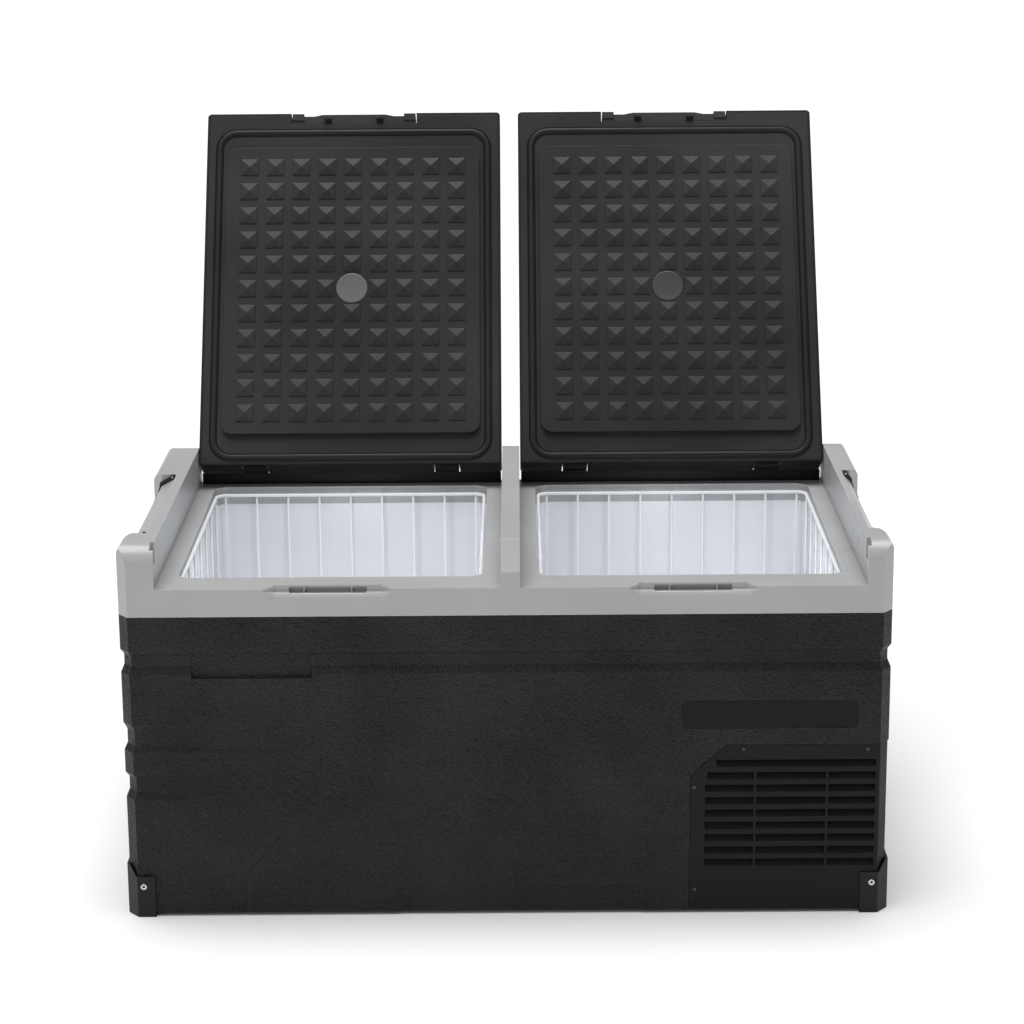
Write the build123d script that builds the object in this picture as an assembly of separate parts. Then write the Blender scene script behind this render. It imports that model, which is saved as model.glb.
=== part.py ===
from build123d import *
import math
import os

# Twin-lid compressor cooler fridge, modelled with both lids open.
# Frame: origin on the floor under the middle of the casing, +X to the right,
# the front faces -Y, +Z up. Millimetres.

# ---- driving dimensions -------------------------------------------------
width = 850.0            # casing, side to side
depth = 490.0            # casing, front to back
foot_drop = 5.0          # casing floor above the ground
case_top = 350.7         # top of the black casing
deck_z = case_top + 31.3   # grey deck that the lids close on
top_z = deck_z + 48.5    # top of the shoulders and of the closed lids
corner_x = 11.0          # vertical corner chamfer, along X
corner_y = 14.0          # vertical corner chamfer, along Y
case_wall = 7.0          # casing wall
skin = 3.0               # wall of the grey top frame and of the lids

shoulder_left = 41.5     # shoulders beside the lids
shoulder_right = 29.5
bar_wide = 21.0          # bar between the lids
bay_width = (width - shoulder_left - shoulder_right - bar_wide) / 2   # clear width that a lid lies in
bay_pitch = bay_width + bar_wide                # from one lid's centre to the other's
bay_shift = (shoulder_left - shoulder_right) / 2   # the bays sit this far right of the casing's centre
open_width = bay_width - 39.0   # opening in the deck
open_front = 47.0        # opening, from the casing's front
open_back = depth - 30.0
open_radius = 18.0
collar_z = deck_z - 22.0   # lower edge of the opening's collar

lid_gap = 1.0            # each side of a lid in its bay
lid_depth = depth - 16.0   # lid, front to back
lid_floor = deck_z + 2.0   # inner face of a closed lid
hinge_y = depth - 20.4   # hinge axis, from the casing's front
hinge_z = deck_z + 24.2
open_angle = 120.8       # how far a lid opens
pin_radius = 3.0
run_gap = 0.05           # radial clearance of a running fit
knuckle_radius = 8.0
knuckle_half = 15.0
post_offset = bay_width / 2 - 69.5   # hinge posts each side of a lid's centre
post_front = depth - 14.6   # front of a hinge post, from the casing's front
post_back = depth - 3.0

gasket_out = bay_width / 2 - 12.5   # gasket ring, half width
gasket_front = 21.4
gasket_back = depth - 20.4
gasket_wide = 10.0
gasket_proud = 1.7
gasket_radius = 28.0
plug_half = open_width / 2 - 8.3   # raised panel, half width
plug_front = 50.2
plug_back = depth - 54.2
plug_deep = 6.0
plug_radius = 14.0
stud_size = 22.0         # square pyramids on the raised panel
stud_pitch = 33.15
stud_rise = 2.4
stud_step = 1.1          # straight sides below each pyramid
stud_margin = 20.0       # the studs stay this far clear of the panel's edges, both sides together
disc_radius = 20.0

latch_half = 79.5        # latch handle, half width
latch_gap = 1.2
latch_axis_y = 7.0
latch_axis_z = deck_z + 29.0
latch_pin_r = 2.0
sole_back = 12.6         # rear edge of the latch's flat sole
sole_thick = 2.6
hook_front = 6.2         # front of the latch's hooks

liner_wall = 2.5
liner_floor = 78.0       # inside floor of a deep tub
step_floor = 214.0       # inside floor over the compressor
bay_roof = 199.0         # top of the compressor bay

wire_thick = 4.0
thin_wire = 3.0
wire_pitch_x = 39.0
wire_pitch_y = 58.0
basket_half = open_width / 2 - 1.5
basket_front = 52.0
basket_back = depth - 44.0
basket_rim = deck_z - 5.0

half_w = width / 2
bay_wall_x = half_w - 219.0   # left face of the compressor bay
front = -depth / 2
back = depth / 2
sides = {"left": -1, "right": 1}


def y_at(from_front):
    """Y of a plane that lies from_front behind the casing's front."""
    return front + from_front


def bay_centre(side):
    return bay_shift + sides[side] * bay_pitch / 2


bay_out_left = bay_centre("left") - bay_width / 2
bay_out_right = bay_centre("right") + bay_width / 2


# ---- small helpers ------------------------------------------------------
def block(x0, x1, y0, y1, z0, z1):
    """Box between two corners."""
    size = (x1 - x0, y1 - y0, z1 - z0)
    return Pos((x0 + x1) / 2, (y0 + y1) / 2, (z0 + z1) / 2) * Box(*size)


def rounded_block(x0, x1, y0, y1, z0, z1, radius):
    """Box whose vertical edges are rounded."""
    face = Pos((x0 + x1) / 2, (y0 + y1) / 2, z0) * RectangleRounded(x1 - x0, y1 - y0, radius)
    return extrude(face, z1 - z0, dir=(0, 0, 1))


def rod_x(x0, x1, y, z, radius):
    """Round bar along X."""
    return Pos((x0 + x1) / 2, y, z) * Rot(0, 90, 0) * Cylinder(radius, x1 - x0)


def rod_y(x, y0, y1, z, radius):
    """Round bar along Y."""
    return Pos(x, (y0 + y1) / 2, z) * Rot(90, 0, 0) * Cylinder(radius, y1 - y0)


def rod_z(x, y, z0, z1, radius):
    """Round bar along Z."""
    return Pos(x, y, (z0 + z1) / 2) * Cylinder(radius, z1 - z0)


def plate_xz(points, y0, y1):
    """Outline in X and Z, extruded along Y."""
    face = make_face(Polyline(*[(x, y0, z) for x, z in points], close=True))
    return extrude(face, y1 - y0, dir=(0, 1, 0))


def plate_yz(points, x0, x1):
    """Outline in Y and Z, extruded along X."""
    face = make_face(Polyline(*[(x0, y, z) for y, z in points], close=True))
    return extrude(face, x1 - x0, dir=(1, 0, 0))


def plate_xy(points, z0, z1):
    """Outline in X and Y, extruded along Z."""
    face = make_face(Polyline(*[(x, y, z0) for x, y in points], close=True))
    return extrude(face, z1 - z0, dir=(0, 0, 1))


def plan_points(inset):
    """The casing's outline from above, chamfered at its corners, set in by inset."""
    w = half_w - inset
    f, b = front + inset, back - inset
    cx, cy = corner_x - inset * 0.4, corner_y - inset * 0.4
    return [(-w + cx, f), (w - cx, f), (w, f + cy), (w, b - cy),
            (w - cx, b), (-w + cx, b), (-w, b - cy), (-w, f + cy)]


def plan_slab(inset, z0, z1):
    return plate_xy(plan_points(inset), z0, z1)


def plan_frustum(inset0, z0, inset1, z1):
    """Casing outline that changes its inset from z0 to z1."""
    low = make_face(Polyline(*[(x, y, z0) for x, y in plan_points(inset0)], close=True))
    high = make_face(Polyline(*[(x, y, z1) for x, y in plan_points(inset1)], close=True))
    return loft([low, high], ruled=True)


def pieces_of(shape):
    """The separate solids of a shape, as one compound when there are several."""
    found = list(shape.solids())
    return found[0] if len(found) == 1 else Compound(found)


def turned_open(shape):
    """A piece of a closed lid, turned to where the open lid holds it."""
    axis = Axis((0, y_at(hinge_y), hinge_z), (1, 0, 0))
    return shape.rotate(axis, -open_angle)


nodes = {}


def keep(name, shape):
    nodes[name] = pieces_of(shape)


# ---- black casing -------------------------------------------------------
groove_deep = 3.8
# each groove's low edge, high edge, floor low and floor high
groove_one = (case_top - 66.2, case_top - 39.7, case_top - 57.2, case_top - 45.7)
groove_two = (194.0, 226.0, 201.0, 218.0)
groove_three = (138.5, 168.0, 147.5, 162.0)
fade_two = 70.0          # where groove two dies out along the front
fade_three = 195.0 - half_w
vent_left = half_w - 221.5   # the vent cover's place on the front
vent_top = 199.0
vent_corner = 41.0       # its sloped upper corner
vent_reach = depth - 190.0   # how far it wraps along the right side
vent_wall = 3.0
vent_fit = 0.5
corner_room = 22.0       # square left free behind the cover's folded corner


def groove_cut(edges, fade_x=None):
    """Ring-shaped groove; with fade_x it dies out along the front at that X and skips the right."""
    z0, z1, f0, f1 = edges
    core = plan_frustum(0, z0, groove_deep, f0)
    core += plan_slab(groove_deep, f0, f1)
    core += plan_frustum(groove_deep, f1, 0, z1)
    ring = plan_slab(-5, z0, z1) - core
    if fade_x is not None:
        wedge = [(-half_w + corner_x + 3, front + groove_deep + 0.5), (fade_x, front - 6),
                 (half_w + 6, front - 6), (half_w + 6, back + 6), (fade_x, back + 6), (fade_x, front + 40)]
        ring -= plate_xy(wedge, z0 - 1, z1 + 1)
    return ring


def vent_outline(grow):
    """The vent cover's outline on the front face."""
    left, top = vent_left - grow, vent_top + grow
    low = foot_drop - 20 if grow > 0 else foot_drop
    right = half_w + 20
    return [(left, low), (right, low), (right, top),
            (left + vent_corner, top), (left + 8, top - vent_corner + 12), (left, top - vent_corner)]


plate_left, plate_right = half_w - 231.0, half_w - 36.5
plate_low, plate_high = 218.0, 251.0
plate_deep = 1.4


def make_casing():
    body = plan_slab(0, foot_drop, case_top)
    body -= plan_slab(case_wall, foot_drop + case_wall, case_top + 1)
    body -= groove_cut(groove_one)
    body -= groove_cut(groove_two, fade_two)
    body -= groove_cut(groove_three, fade_three)
    body -= block(78.5 - half_w, 212 - half_w, front - 1, front + groove_deep + 1.2,
                  groove_one[0] - 5, groove_one[1] - 0.2)
    # compressor bay: open underneath for the base plate, and at the vent
    body -= block(bay_wall_x + 4, half_w - case_wall, front + case_wall, back - case_wall,
                  foot_drop - 1, foot_drop + case_wall + 1)
    body -= plate_xz(vent_outline(vent_fit), front - 1, front + case_wall + 0.01)
    body -= block(half_w - case_wall - 0.01, half_w + 1, front - 1, y_at(vent_reach) + vent_fit,
                  foot_drop - 1, vent_top + vent_fit)
    body -= block(half_w - corner_room, half_w + 1, front - 1, front + corner_room,
                  foot_drop - 1, vent_top + vent_fit)
    # blank nameplate's recess
    height = plate_high - plate_low
    slot = Pos((plate_left + plate_right) / 2, front - 1, (plate_low + plate_high) / 2)
    face = slot * Rot(90, 0, 0) * RectangleRounded(plate_right - plate_left, height, 6)
    body -= extrude(face, plate_deep + 1, dir=(0, 1, 0))
    # low relief along the bottom of the front
    body -= plate_xz([(-126, foot_drop - 1), (-105, 36), (150, 36), (150, foot_drop - 1)],
                     front - 1, front + 1.2)
    slant = [(125, foot_drop - 1), (130.5, 50), (173, 97), (176, 97), (134, 49), (134, foot_drop - 1)]
    body -= plate_xz([(x - half_w, z) for x, z in slant], front - 1, front + 0.8)
    return body


keep("outer_shell", make_casing())

inner_low = foot_drop + case_wall
plate_thick = 2.0
base_box = (bay_wall_x + 4.5, half_w - case_wall - 0.5, front + case_wall + 0.5, back - case_wall - 0.5)
base = block(*base_box, foot_drop, foot_drop + plate_thick)
base -= block(half_w - corner_room, half_w, front, front + corner_room, 0, 20)
keep("base_plate", base)

nameplate_face = Pos((plate_left + plate_right) / 2, front + plate_deep, (plate_low + plate_high) / 2)
plate_fit = 0.6          # the plate is this much smaller than its recess, both sides together
plate_wide, plate_tall = plate_right - plate_left - plate_fit, plate_high - plate_low - plate_fit
nameplate_face *= Rot(90, 0, 0) * RectangleRounded(plate_wide, plate_tall, 5.7)
keep("nameplate", extrude(nameplate_face, 0.9, dir=(0, -1, 0)))
keep("centre_foot", rounded_block(-40, 40, -30, 30, 0, foot_drop, 8))


# ---- vent cover ---------------------------------------------------------
slot_rows = 9
slot_pitch = 14.65
slot_high = 8.4
slot_low = 56.0
slot_left, slot_right = half_w - 206.0, half_w - 14.0
slot_breaks = (half_w - 149.0, half_w - 69.0)
slot_bar = 3.0
# slots on the cover's side: how many, where the first starts, and the bar between two
side_slots = 3
side_first = 36.0
side_bar = 4.0
side_pitch = (vent_reach - side_first - 10 + side_bar) / side_slots
# one louvre blade, as (depth behind the face, height above the slot's lower edge)
louvre = [(0.8, -0.6), (2.4, -0.6), (8.2, slot_high - 1.6), (8.2, slot_high + 0.4), (7.0, slot_high + 0.4)]


def make_vent():
    cover = plate_xz(vent_outline(0), front, front + vent_wall)
    cover &= plan_slab(0, foot_drop, case_top)
    side_out = half_w - 1.5
    side = block(side_out - vent_wall, side_out, front + corner_y - 1, y_at(vent_reach), foot_drop, vent_top)
    strip = [(half_w - corner_x, front), (side_out, front + corner_y - 1), (side_out, front + corner_y + 2),
             (side_out - vent_wall, front + corner_y + 2), (half_w - corner_x - 3, front + vent_wall),
             (half_w - corner_x - 3, front)]
    cover += side
    cover += plate_xy(strip, foot_drop, vent_top)
    spans = [slot_left] + list(slot_breaks) + [slot_right]
    for row in range(slot_rows):
        low = slot_low + row * slot_pitch
        top_row = row == slot_rows - 1
        for a, b in zip(spans[:-1], spans[1:]):
            x0, x1 = a + slot_bar / 2, b - slot_bar / 2
            if row >= slot_rows - 2:
                x0 = max(x0, slot_left + (14 if top_row else 4))
            if top_row and a != slot_left:
                x0 = a - slot_bar / 2
            cover -= block(x0, x1, front - 1, front + vent_wall + 1, low, low + slot_high)
            cover += plate_yz([(front + y, low + z) for y, z in louvre], x0 - 0.5, x1 + 0.5)
        for k in range(side_slots):
            y0, y1 = y_at(side_first + k * side_pitch), y_at(side_first + (k + 1) * side_pitch - side_bar)
            cover -= block(half_w - 12, half_w + 1, y0, y1, low, low + slot_high)
            cover += plate_xz([(side_out - y, low + z) for y, z in louvre], y0 - 0.5, y1 + 0.5)
    return cover


keep("vent_cover", make_vent())

vent_screw_places = [(half_w - 162.2, 194.2), (half_w - 24.6, 193.4), (half_w - 216.6, 149.9),
                     (half_w - 215, 28.5)]
vent_screw_head = Rot(90, 0, 0) * Cylinder(2.0, 1.2, align=(Align.CENTER, Align.CENTER, Align.MIN))
vent_screws = [Pos(x, front, z) * vent_screw_head for x, z in vent_screw_places]
keep("vent_screws", Compound([s.solid() for s in vent_screws]))


# ---- corner protectors, which are also the feet -------------------------
guard_out = 2.6          # stands off the casing
guard_wide = 30.0
guard_high = 48.0
guard_peak = 59.0
screw_r = 3.8


def make_guard(sx, sy):
    """L-shaped guard on one lower corner; sx and sy give the corner."""
    outer = plate_xy([(x * sx, y * sy) for x, y in [
        (half_w - guard_wide, back + guard_out), (half_w - corner_x + 1, back + guard_out),
        (half_w + guard_out, back - corner_y + 1), (half_w + guard_out, back - 48),
        (half_w - 0.2, back - 48), (half_w - 0.2, back - guard_wide),
        (half_w - guard_wide, back - guard_wide)]],
        0, guard_peak)
    inner = plan_slab(-0.02, foot_drop - 0.001, case_top)
    guard = outer - inner
    # the upper edge steps down on the faces and peaks at the corner
    cut = plate_xz([(sx * (half_w - guard_wide - 1), guard_high), (sx * (half_w - corner_x + 2), guard_high),
                    (sx * (half_w - 1), guard_peak), (sx * (half_w - 1), guard_peak + 2),
                    (sx * (half_w - guard_wide - 1), guard_peak + 2)], -back - 20, back + 20)
    guard -= cut
    bore = Pos(sx * (half_w - 17), sy * (back + guard_out), 36) * Rot(90, 0, 0) * Cylinder(screw_r + 0.6, 2.4)
    guard -= bore
    return guard


guard_places = {"front_left": (-1, -1), "front_right": (1, -1), "rear_left": (-1, 1), "rear_right": (1, 1)}
corner_screws = []
for place, (sx, sy) in guard_places.items():
    keep("corner_protector_" + place, make_guard(sx, sy))
    head = Pos(sx * (half_w - 17), sy * (back + guard_out - 0.5), 36) * Rot(90, 0, 0) * Cylinder(screw_r, 1.4)
    socket = Pos(sx * (half_w - 17), sy * (back + guard_out + 0.2), 36) * Rot(90, 0, 0) * Box(1.2, 5.0, 1.2)
    corner_screws.append((head - socket).solid())
keep("corner_screws", Compound(corner_screws))


# ---- grey top frame -----------------------------------------------------
front_round = 24.0       # radius of the shoulders' front ends
side_round = 12.0        # radius of the shoulders' outer edges
recess_front = 60.0      # handle recess in each shoulder, from the front
recess_back = depth - 159.0
recess_edge = {"left": 29.5, "right": 22.0}   # from the casing's side to the recess's inner step
recess_lip = top_z - 13.5   # height where the recess's slope meets the side
recess_step = top_z - 3.5
recess_side = 11.5       # depth of the recess in the side
recess_low = top_z - 73.5
recess_ramp = 20.0       # the recess's ends slant by this much
notch_x = 4.5            # small finger notch at each shoulder's front
latch_well_half = 70.0   # recess for each latch in the rail
well_flat = 58.0         # flat length of the well, half width
well_low = deck_z - 19.5
latch_slot_half = 42.6
trench_front, trench_back = 4.5, 11.0
trench_low = deck_z - 13.0
trench_edge = deck_z - 6.0
lip_half = 58.0
lip_high = 1.6
lip_thick = 2.6
pocket_back = 14.8       # the catch trench also reaches under the lip, this far from the front
pocket_roof = 0.8
well_end = 0.75          # height of a well's ends as a share of its own
rib_x = 26.0
rib_half = 0.8


def side_profile():
    """Side view of the top frame, with rounded ends."""
    r = front_round
    corner = r * (1 - math.sqrt(0.5))
    line = Polyline((0, back, case_top), (0, front, case_top), (0, front, top_z - r))
    arc = ThreePointArc((0, front, top_z - r), (0, front + corner, top_z - corner), (0, front + r, top_z))
    top = Polyline((0, front + r, top_z), (0, back - r, top_z))
    arc_back = ThreePointArc((0, back - r, top_z), (0, back - corner, top_z - corner), (0, back, top_z - r))
    close = Line((0, back, top_z - r), (0, back, case_top))
    return make_face([line, arc, top, arc_back, close])


def front_profile():
    """Front view of the top frame, with rounded outer edges."""
    r, w = side_round, half_w
    corner = r * (1 - math.sqrt(0.5))
    line = Polyline((-w, 0, top_z - r), (-w, 0, case_top), (w, 0, case_top), (w, 0, top_z - r))
    arc = ThreePointArc((w, 0, top_z - r), (w - corner, 0, top_z - corner), (w - r, 0, top_z))
    top = Line((w - r, 0, top_z), (-w + r, 0, top_z))
    arc_left = ThreePointArc((-w + r, 0, top_z), (-w + corner, 0, top_z - corner), (-w, 0, top_z - r))
    return make_face([line, arc, top, arc_left])


def handle_recess(side):
    """Slope and side pocket that a carry handle hangs in."""
    x, sx = half_w, sides[side]
    edge = x - recess_edge[side]
    points = [(edge, top_z + 5), (edge, recess_step), (x - recess_side, recess_lip),
              (x - recess_side, recess_low), (x + 5, recess_low - 8), (x + 5, top_z + 5)]
    recess = plate_xz([(sx * a, b) for a, b in points], y_at(recess_front), y_at(recess_back))
    inner = x - recess_side
    for y0, y1 in ((recess_front, recess_front - recess_ramp), (recess_back, recess_back + recess_ramp)):
        ramp = [(sx * inner, y_at(y0)), (sx * (x + 5), y_at(y1)), (sx * (x + 5), y_at(y0))]
        recess += plate_xy(ramp, recess_lip - recess_ramp, top_z + 5)
    return recess


def cut_latch_well(frame, c):
    """Scooped pan in the rail, with a catch trench and a raised lip behind it."""
    pan = [(front - 1, deck_z + 4), (front + trench_back, deck_z + 4), (front + trench_back, trench_edge),
           (front + trench_front, trench_edge), (front + 2.2, trench_edge - 3.5), (front - 1, well_low)]
    frame -= plate_yz(pan, c - well_flat, c + well_flat)
    corner_y0, corner_z0 = pan[0]
    small = [(corner_y0 + (y - corner_y0) * 0.12, corner_z0 + (z - corner_z0) * well_end) for y, z in pan]
    for s in (-1, 1):
        wide = make_face(Polyline(*[(c + s * (well_flat - 0.1), y, z) for y, z in pan], close=True))
        narrow = make_face(Polyline(*[(c + s * latch_well_half, y, z) for y, z in small], close=True))
        frame -= loft([wide, narrow], ruled=True)
    trench = rounded_block(c - latch_slot_half, c + latch_slot_half, y_at(trench_front), y_at(trench_back),
                           trench_low, deck_z + 4, 2.5)
    frame -= trench
    frame -= block(c - latch_slot_half, c + latch_slot_half, y_at(trench_back) - 0.1, y_at(pocket_back),
                   trench_edge - 1, deck_z - pocket_roof)
    for s in (-1, 1):
        x0, x1 = c + s * rib_x - rib_half, c + s * rib_x + rib_half
        frame += block(x0, x1, y_at(trench_front) - 0.5, y_at(trench_back) + 0.5,
                       trench_low - 0.5, trench_edge - 0.5)
        frame += block(x0, x1, y_at(trench_back), y_at(pocket_back) + 0.2,
                       trench_edge - 1.5, deck_z - pocket_roof + 0.2)
    lip = [(c - lip_half - 8, deck_z - 0.5), (c - lip_half, deck_z + lip_high),
           (c + lip_half, deck_z + lip_high), (c + lip_half + 8, deck_z - 0.5)]
    return frame + plate_xz(lip, y_at(trench_back), y_at(trench_back) + lip_thick)


def make_top_frame():
    frame = plan_slab(0, case_top, top_z)
    frame &= extrude(side_profile(), half_w + 1, dir=(1, 0, 0), both=True)
    frame &= extrude(front_profile(), back + 1, dir=(0, 1, 0), both=True)
    for side in sides:
        c = bay_centre(side)
        frame -= block(c - bay_width / 2, c + bay_width / 2, front - 1, back + 1, deck_z, top_z + 1)
    # rounded front end of the bar between the lids
    bar_half = (bay_pitch - bay_width) / 2
    frame -= plate_yz([(front - 1, deck_z + 16), (front + 26, top_z + 1), (front - 1, top_z + 1)],
                      bay_shift - bar_half - 1, bay_shift + bar_half + 1)
    for side, sx in sides.items():
        c = bay_centre(side)
        # hollow under the deck, left open for the foam
        frame -= block(c - bay_width / 2 + skin, c + bay_width / 2 - skin, y_at(16), y_at(open_front) - skin,
                       case_top - 1, deck_z - skin)
        frame -= block(c - bay_width / 2 + skin, c + bay_width / 2 - skin, y_at(open_back) + skin,
                       back - skin, case_top - 1, deck_z - skin)
        for s in (-1, 1):
            edge = c + s * (open_width / 2 + skin)
            wall = c + s * (bay_width / 2 - skin)
            frame -= block(min(edge, wall), max(edge, wall), y_at(open_front) - skin - 0.01,
                           y_at(open_back) + skin + 0.01, case_top - 1, deck_z - skin)
        # room for the tub's flange, then the opening itself
        frame -= block(c - open_width / 2 - skin - 0.01, c + open_width / 2 + skin + 0.01,
                       y_at(open_front) - skin - 0.01, y_at(open_back) + skin + 0.01, case_top - 1, collar_z)
        frame -= rounded_block(c - open_width / 2, c + open_width / 2, y_at(open_front), y_at(open_back),
                               case_top - 1, deck_z + 1, open_radius)
        frame = cut_latch_well(frame, c)
        frame -= handle_recess(side)
        # little notch at the inner front edge of each shoulder
        wall_x = bay_out_left if sx < 0 else bay_out_right
        x0, x1 = sorted((wall_x - sx * 1, wall_x + sx * notch_x))
        frame -= block(x0, x1, y_at(8), y_at(22), top_z - 24, top_z + 1)
        # hollow of each shoulder, closed above
        x0, x1 = sorted((sx * (half_w - case_wall - recess_side + 3), wall_x + sx * (skin + notch_x)))
        frame -= block(x0, x1, y_at(30), back - 18, case_top - 1, top_z - 14)
    return frame


top_frame = make_top_frame()


# ---- carry handles ------------------------------------------------------
handle_end = 4.0         # thickness of each arm, along Y
handle_gap = 0.8         # clearance all round the bail
arm_thick = 4.0
arm_lift = 0.6           # the arms lie this far off the slope
boss_r = 2.8
pivot_r = 1.3
bail_front = recess_front + handle_gap
bail_back = recess_back - handle_gap
grip_low, grip_high = top_z - 68.5, top_z - 46.5
grip_thick = 4.0
pin_reach = 8.0


def handle_geometry(side):
    """Recess slope's ends, unit vectors along and off it, and the pivot, in X and Z on the right side."""
    start = Vector(half_w - recess_edge[side], recess_step)
    end = Vector(half_w - recess_side, recess_lip)
    along = (end - start).normalized()
    off = Vector(-along.Y, along.X)
    pivot = start + along * (boss_r + 0.8) + off * (boss_r + arm_lift)
    return end, off, pivot


def make_handle(side):
    """Bail that hangs in the side pocket: two bent arms and a flat grip."""
    sx = sides[side]
    end, off, pivot = handle_geometry(side)
    x_in = half_w - recess_side + arm_lift
    x_out = x_in + grip_thick
    inner = pivot - off * boss_r
    outer = pivot + off * (arm_thick - boss_r)
    corner = end + off * (arm_lift + 0.2)
    points = [(inner.X, inner.Y), (outer.X, outer.Y), (end.X + 2, end.Y + arm_thick + 0.4),
              (x_out - 1.5, recess_lip - 2), (x_out, recess_lip - 7), (x_out, grip_low),
              (x_in, grip_low), (x_in, corner.Y - 0.6)]
    points = [(sx * a, b) for a, b in points]
    bail = plate_xz(points, y_at(bail_front), y_at(bail_front) + handle_end)
    bail += plate_xz(points, y_at(bail_back) - handle_end, y_at(bail_back))
    x0, x1 = sorted((sx * x_in, sx * x_out))
    bail += block(x0, x1, y_at(bail_front) + 1, y_at(bail_back) - 1, grip_low, grip_high)
    for y0, y1 in ((bail_front, bail_front + handle_end), (bail_back - handle_end, bail_back)):
        bail += rod_y(sx * pivot.X, y_at(y0), y_at(y1), pivot.Y, boss_r)
        bail -= rod_y(sx * pivot.X, y_at(y0) - 1, y_at(y1) + 1, pivot.Y, pivot_r + run_gap)
    return bail


handle_pins = []
for side, sx in sides.items():
    keep("handle_" + side, make_handle(side))
    pivot = handle_geometry(side)[-1]
    for a, b in ((recess_front - pin_reach, bail_front + handle_end + 0.5),
                 (bail_back - handle_end - 0.5, recess_back + pin_reach)):
        pin = rod_y(sx * pivot.X, y_at(a), y_at(b), pivot.Y, pivot_r)
        top_frame -= pin
        handle_pins.append(pin.solid())
    print("handle pivot", side, round(sx * pivot.X, 3), round(pivot.Y, 3))
keep("handle_pins", Compound(handle_pins))


# ---- hinge posts and pins ----------------------------------------------
def make_post(x):
    """Post that rises behind a lid and carries one knuckle."""
    arm = plate_yz([(y_at(post_front), deck_z), (y_at(post_back), deck_z), (y_at(post_back), hinge_z - 6),
                    (y_at(hinge_y) + 4, hinge_z + knuckle_radius - 0.5), (y_at(hinge_y), hinge_z - 3),
                    (y_at(post_front), hinge_z - knuckle_radius)], x - knuckle_half, x + knuckle_half)
    post = arm + rod_x(x - knuckle_half, x + knuckle_half, y_at(hinge_y), hinge_z, knuckle_radius)
    return post - rod_x(x - 40, x + 40, y_at(hinge_y), hinge_z, pin_radius)


pin_half = 29.0
rail_back = depth - 2.0    # back of the rail that joins the posts
rail_rise = 14.0         # its front edge above the deck
rail_fall = 6.6          # its back edge above the deck
posts, hinge_pins = [], []
for side in sides:
    c, w = bay_centre(side), bay_width / 2 - lid_gap - 1
    rail = plate_yz([(y_at(post_front), deck_z), (y_at(rail_back), deck_z),
                     (y_at(rail_back), deck_z + rail_fall), (y_at(post_front), deck_z + rail_rise)],
                    c - w, c + w)
    for s in (-1, 1):
        x = bay_centre(side) + s * post_offset
        rail += make_post(x)
        hinge_pins.append(rod_x(x - pin_half, x + pin_half, y_at(hinge_y), hinge_z, pin_radius).solid())
    posts.append(rail.solid())
keep("hinge_posts", Compound(posts))
keep("hinge_pins", Compound(hinge_pins))


# ---- lids ---------------------------------------------------------------
boss_in = knuckle_half + 1.2
boss_out = pin_half + 1.0
hinge_well = depth - 33.0   # front of the pocket in the lid for a knuckle
panel_thick = 3.0


def ring(c, half, y0, y1, radius, wide, z0, z1):
    """Rounded rectangular ring."""
    outer = rounded_block(c - half, c + half, y_at(y0), y_at(y1), z0, z1, radius)
    return outer - rounded_block(c - half + wide, c + half - wide, y_at(y0 + wide), y_at(y1 - wide),
                                 z0 - 1, z1 + 1, radius - wide)


def make_cover(c):
    """Outer shell of a lid: domed top plate, walls, hinge and latch bosses."""
    w = bay_width / 2 - lid_gap
    shell = rounded_block(c - w, c + w, front, y_at(lid_depth), lid_floor, top_z, 5)
    shell = fillet(shell.faces().sort_by(Axis.Z)[-1].edges(), 4.0)
    shell -= block(c - w + skin, c + w - skin, front + skin, y_at(lid_depth) - skin,
                   lid_floor - 1, top_z - skin)
    relief = ring(c, w - 22, 30, lid_depth - 26, 20, 3.0, top_z - 0.9, top_z + 1)
    shell -= relief
    for k in range(5):
        x = c + (k - 2) * 52
        shell -= rounded_block(x - 2, x + 2, y_at(90), y_at(lid_depth - 86), top_z - 0.9, top_z + 1, 1.9)
    # latch pocket: a box with its own walls
    lx = latch_half + latch_gap
    shell += block(c - lx - 8, c + lx + 8, front + skin, y_at(17),
                   lid_floor + panel_thick + 0.5, top_z - skin)
    shell -= block(c - lx, c + lx, front - 1, y_at(14), lid_floor - 1, deck_z + 35.5)
    shell -= rod_x(c - lx - 6, c + lx + 6, y_at(latch_axis_y), latch_axis_z, latch_pin_r)
    for s in (-1, 1):
        x = c + s * post_offset
        shell += block(x - boss_out - 3, x + boss_out + 3, y_at(hinge_well) - 3, y_at(lid_depth) - skin,
                       lid_floor + panel_thick + 0.5, top_z - skin)
        shell -= block(x - boss_in, x + boss_in, y_at(hinge_well), y_at(lid_depth) + 1,
                       lid_floor + panel_thick + 1.5, top_z + 1)
        shell -= rod_x(x - boss_out, x + boss_out, y_at(hinge_y), hinge_z, pin_radius + run_gap)
    return shell


def studs_each_side(length):
    """How many pyramids fit on each side of the middle one."""
    return int((length - stud_margin - stud_pitch) / (2 * stud_pitch))


def stud_places(c):
    """Centres of the pyramids: a grid about the raised panel's middle, without the disc's place."""
    middle = y_at((plug_front + plug_back) / 2)
    columns = studs_each_side(2 * plug_half)
    rows = studs_each_side(plug_back - plug_front)
    for i in range(-columns, columns + 1):
        for j in range(-rows, rows + 1):
            if i or j:
                yield c + i * stud_pitch, middle + j * stud_pitch


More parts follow.
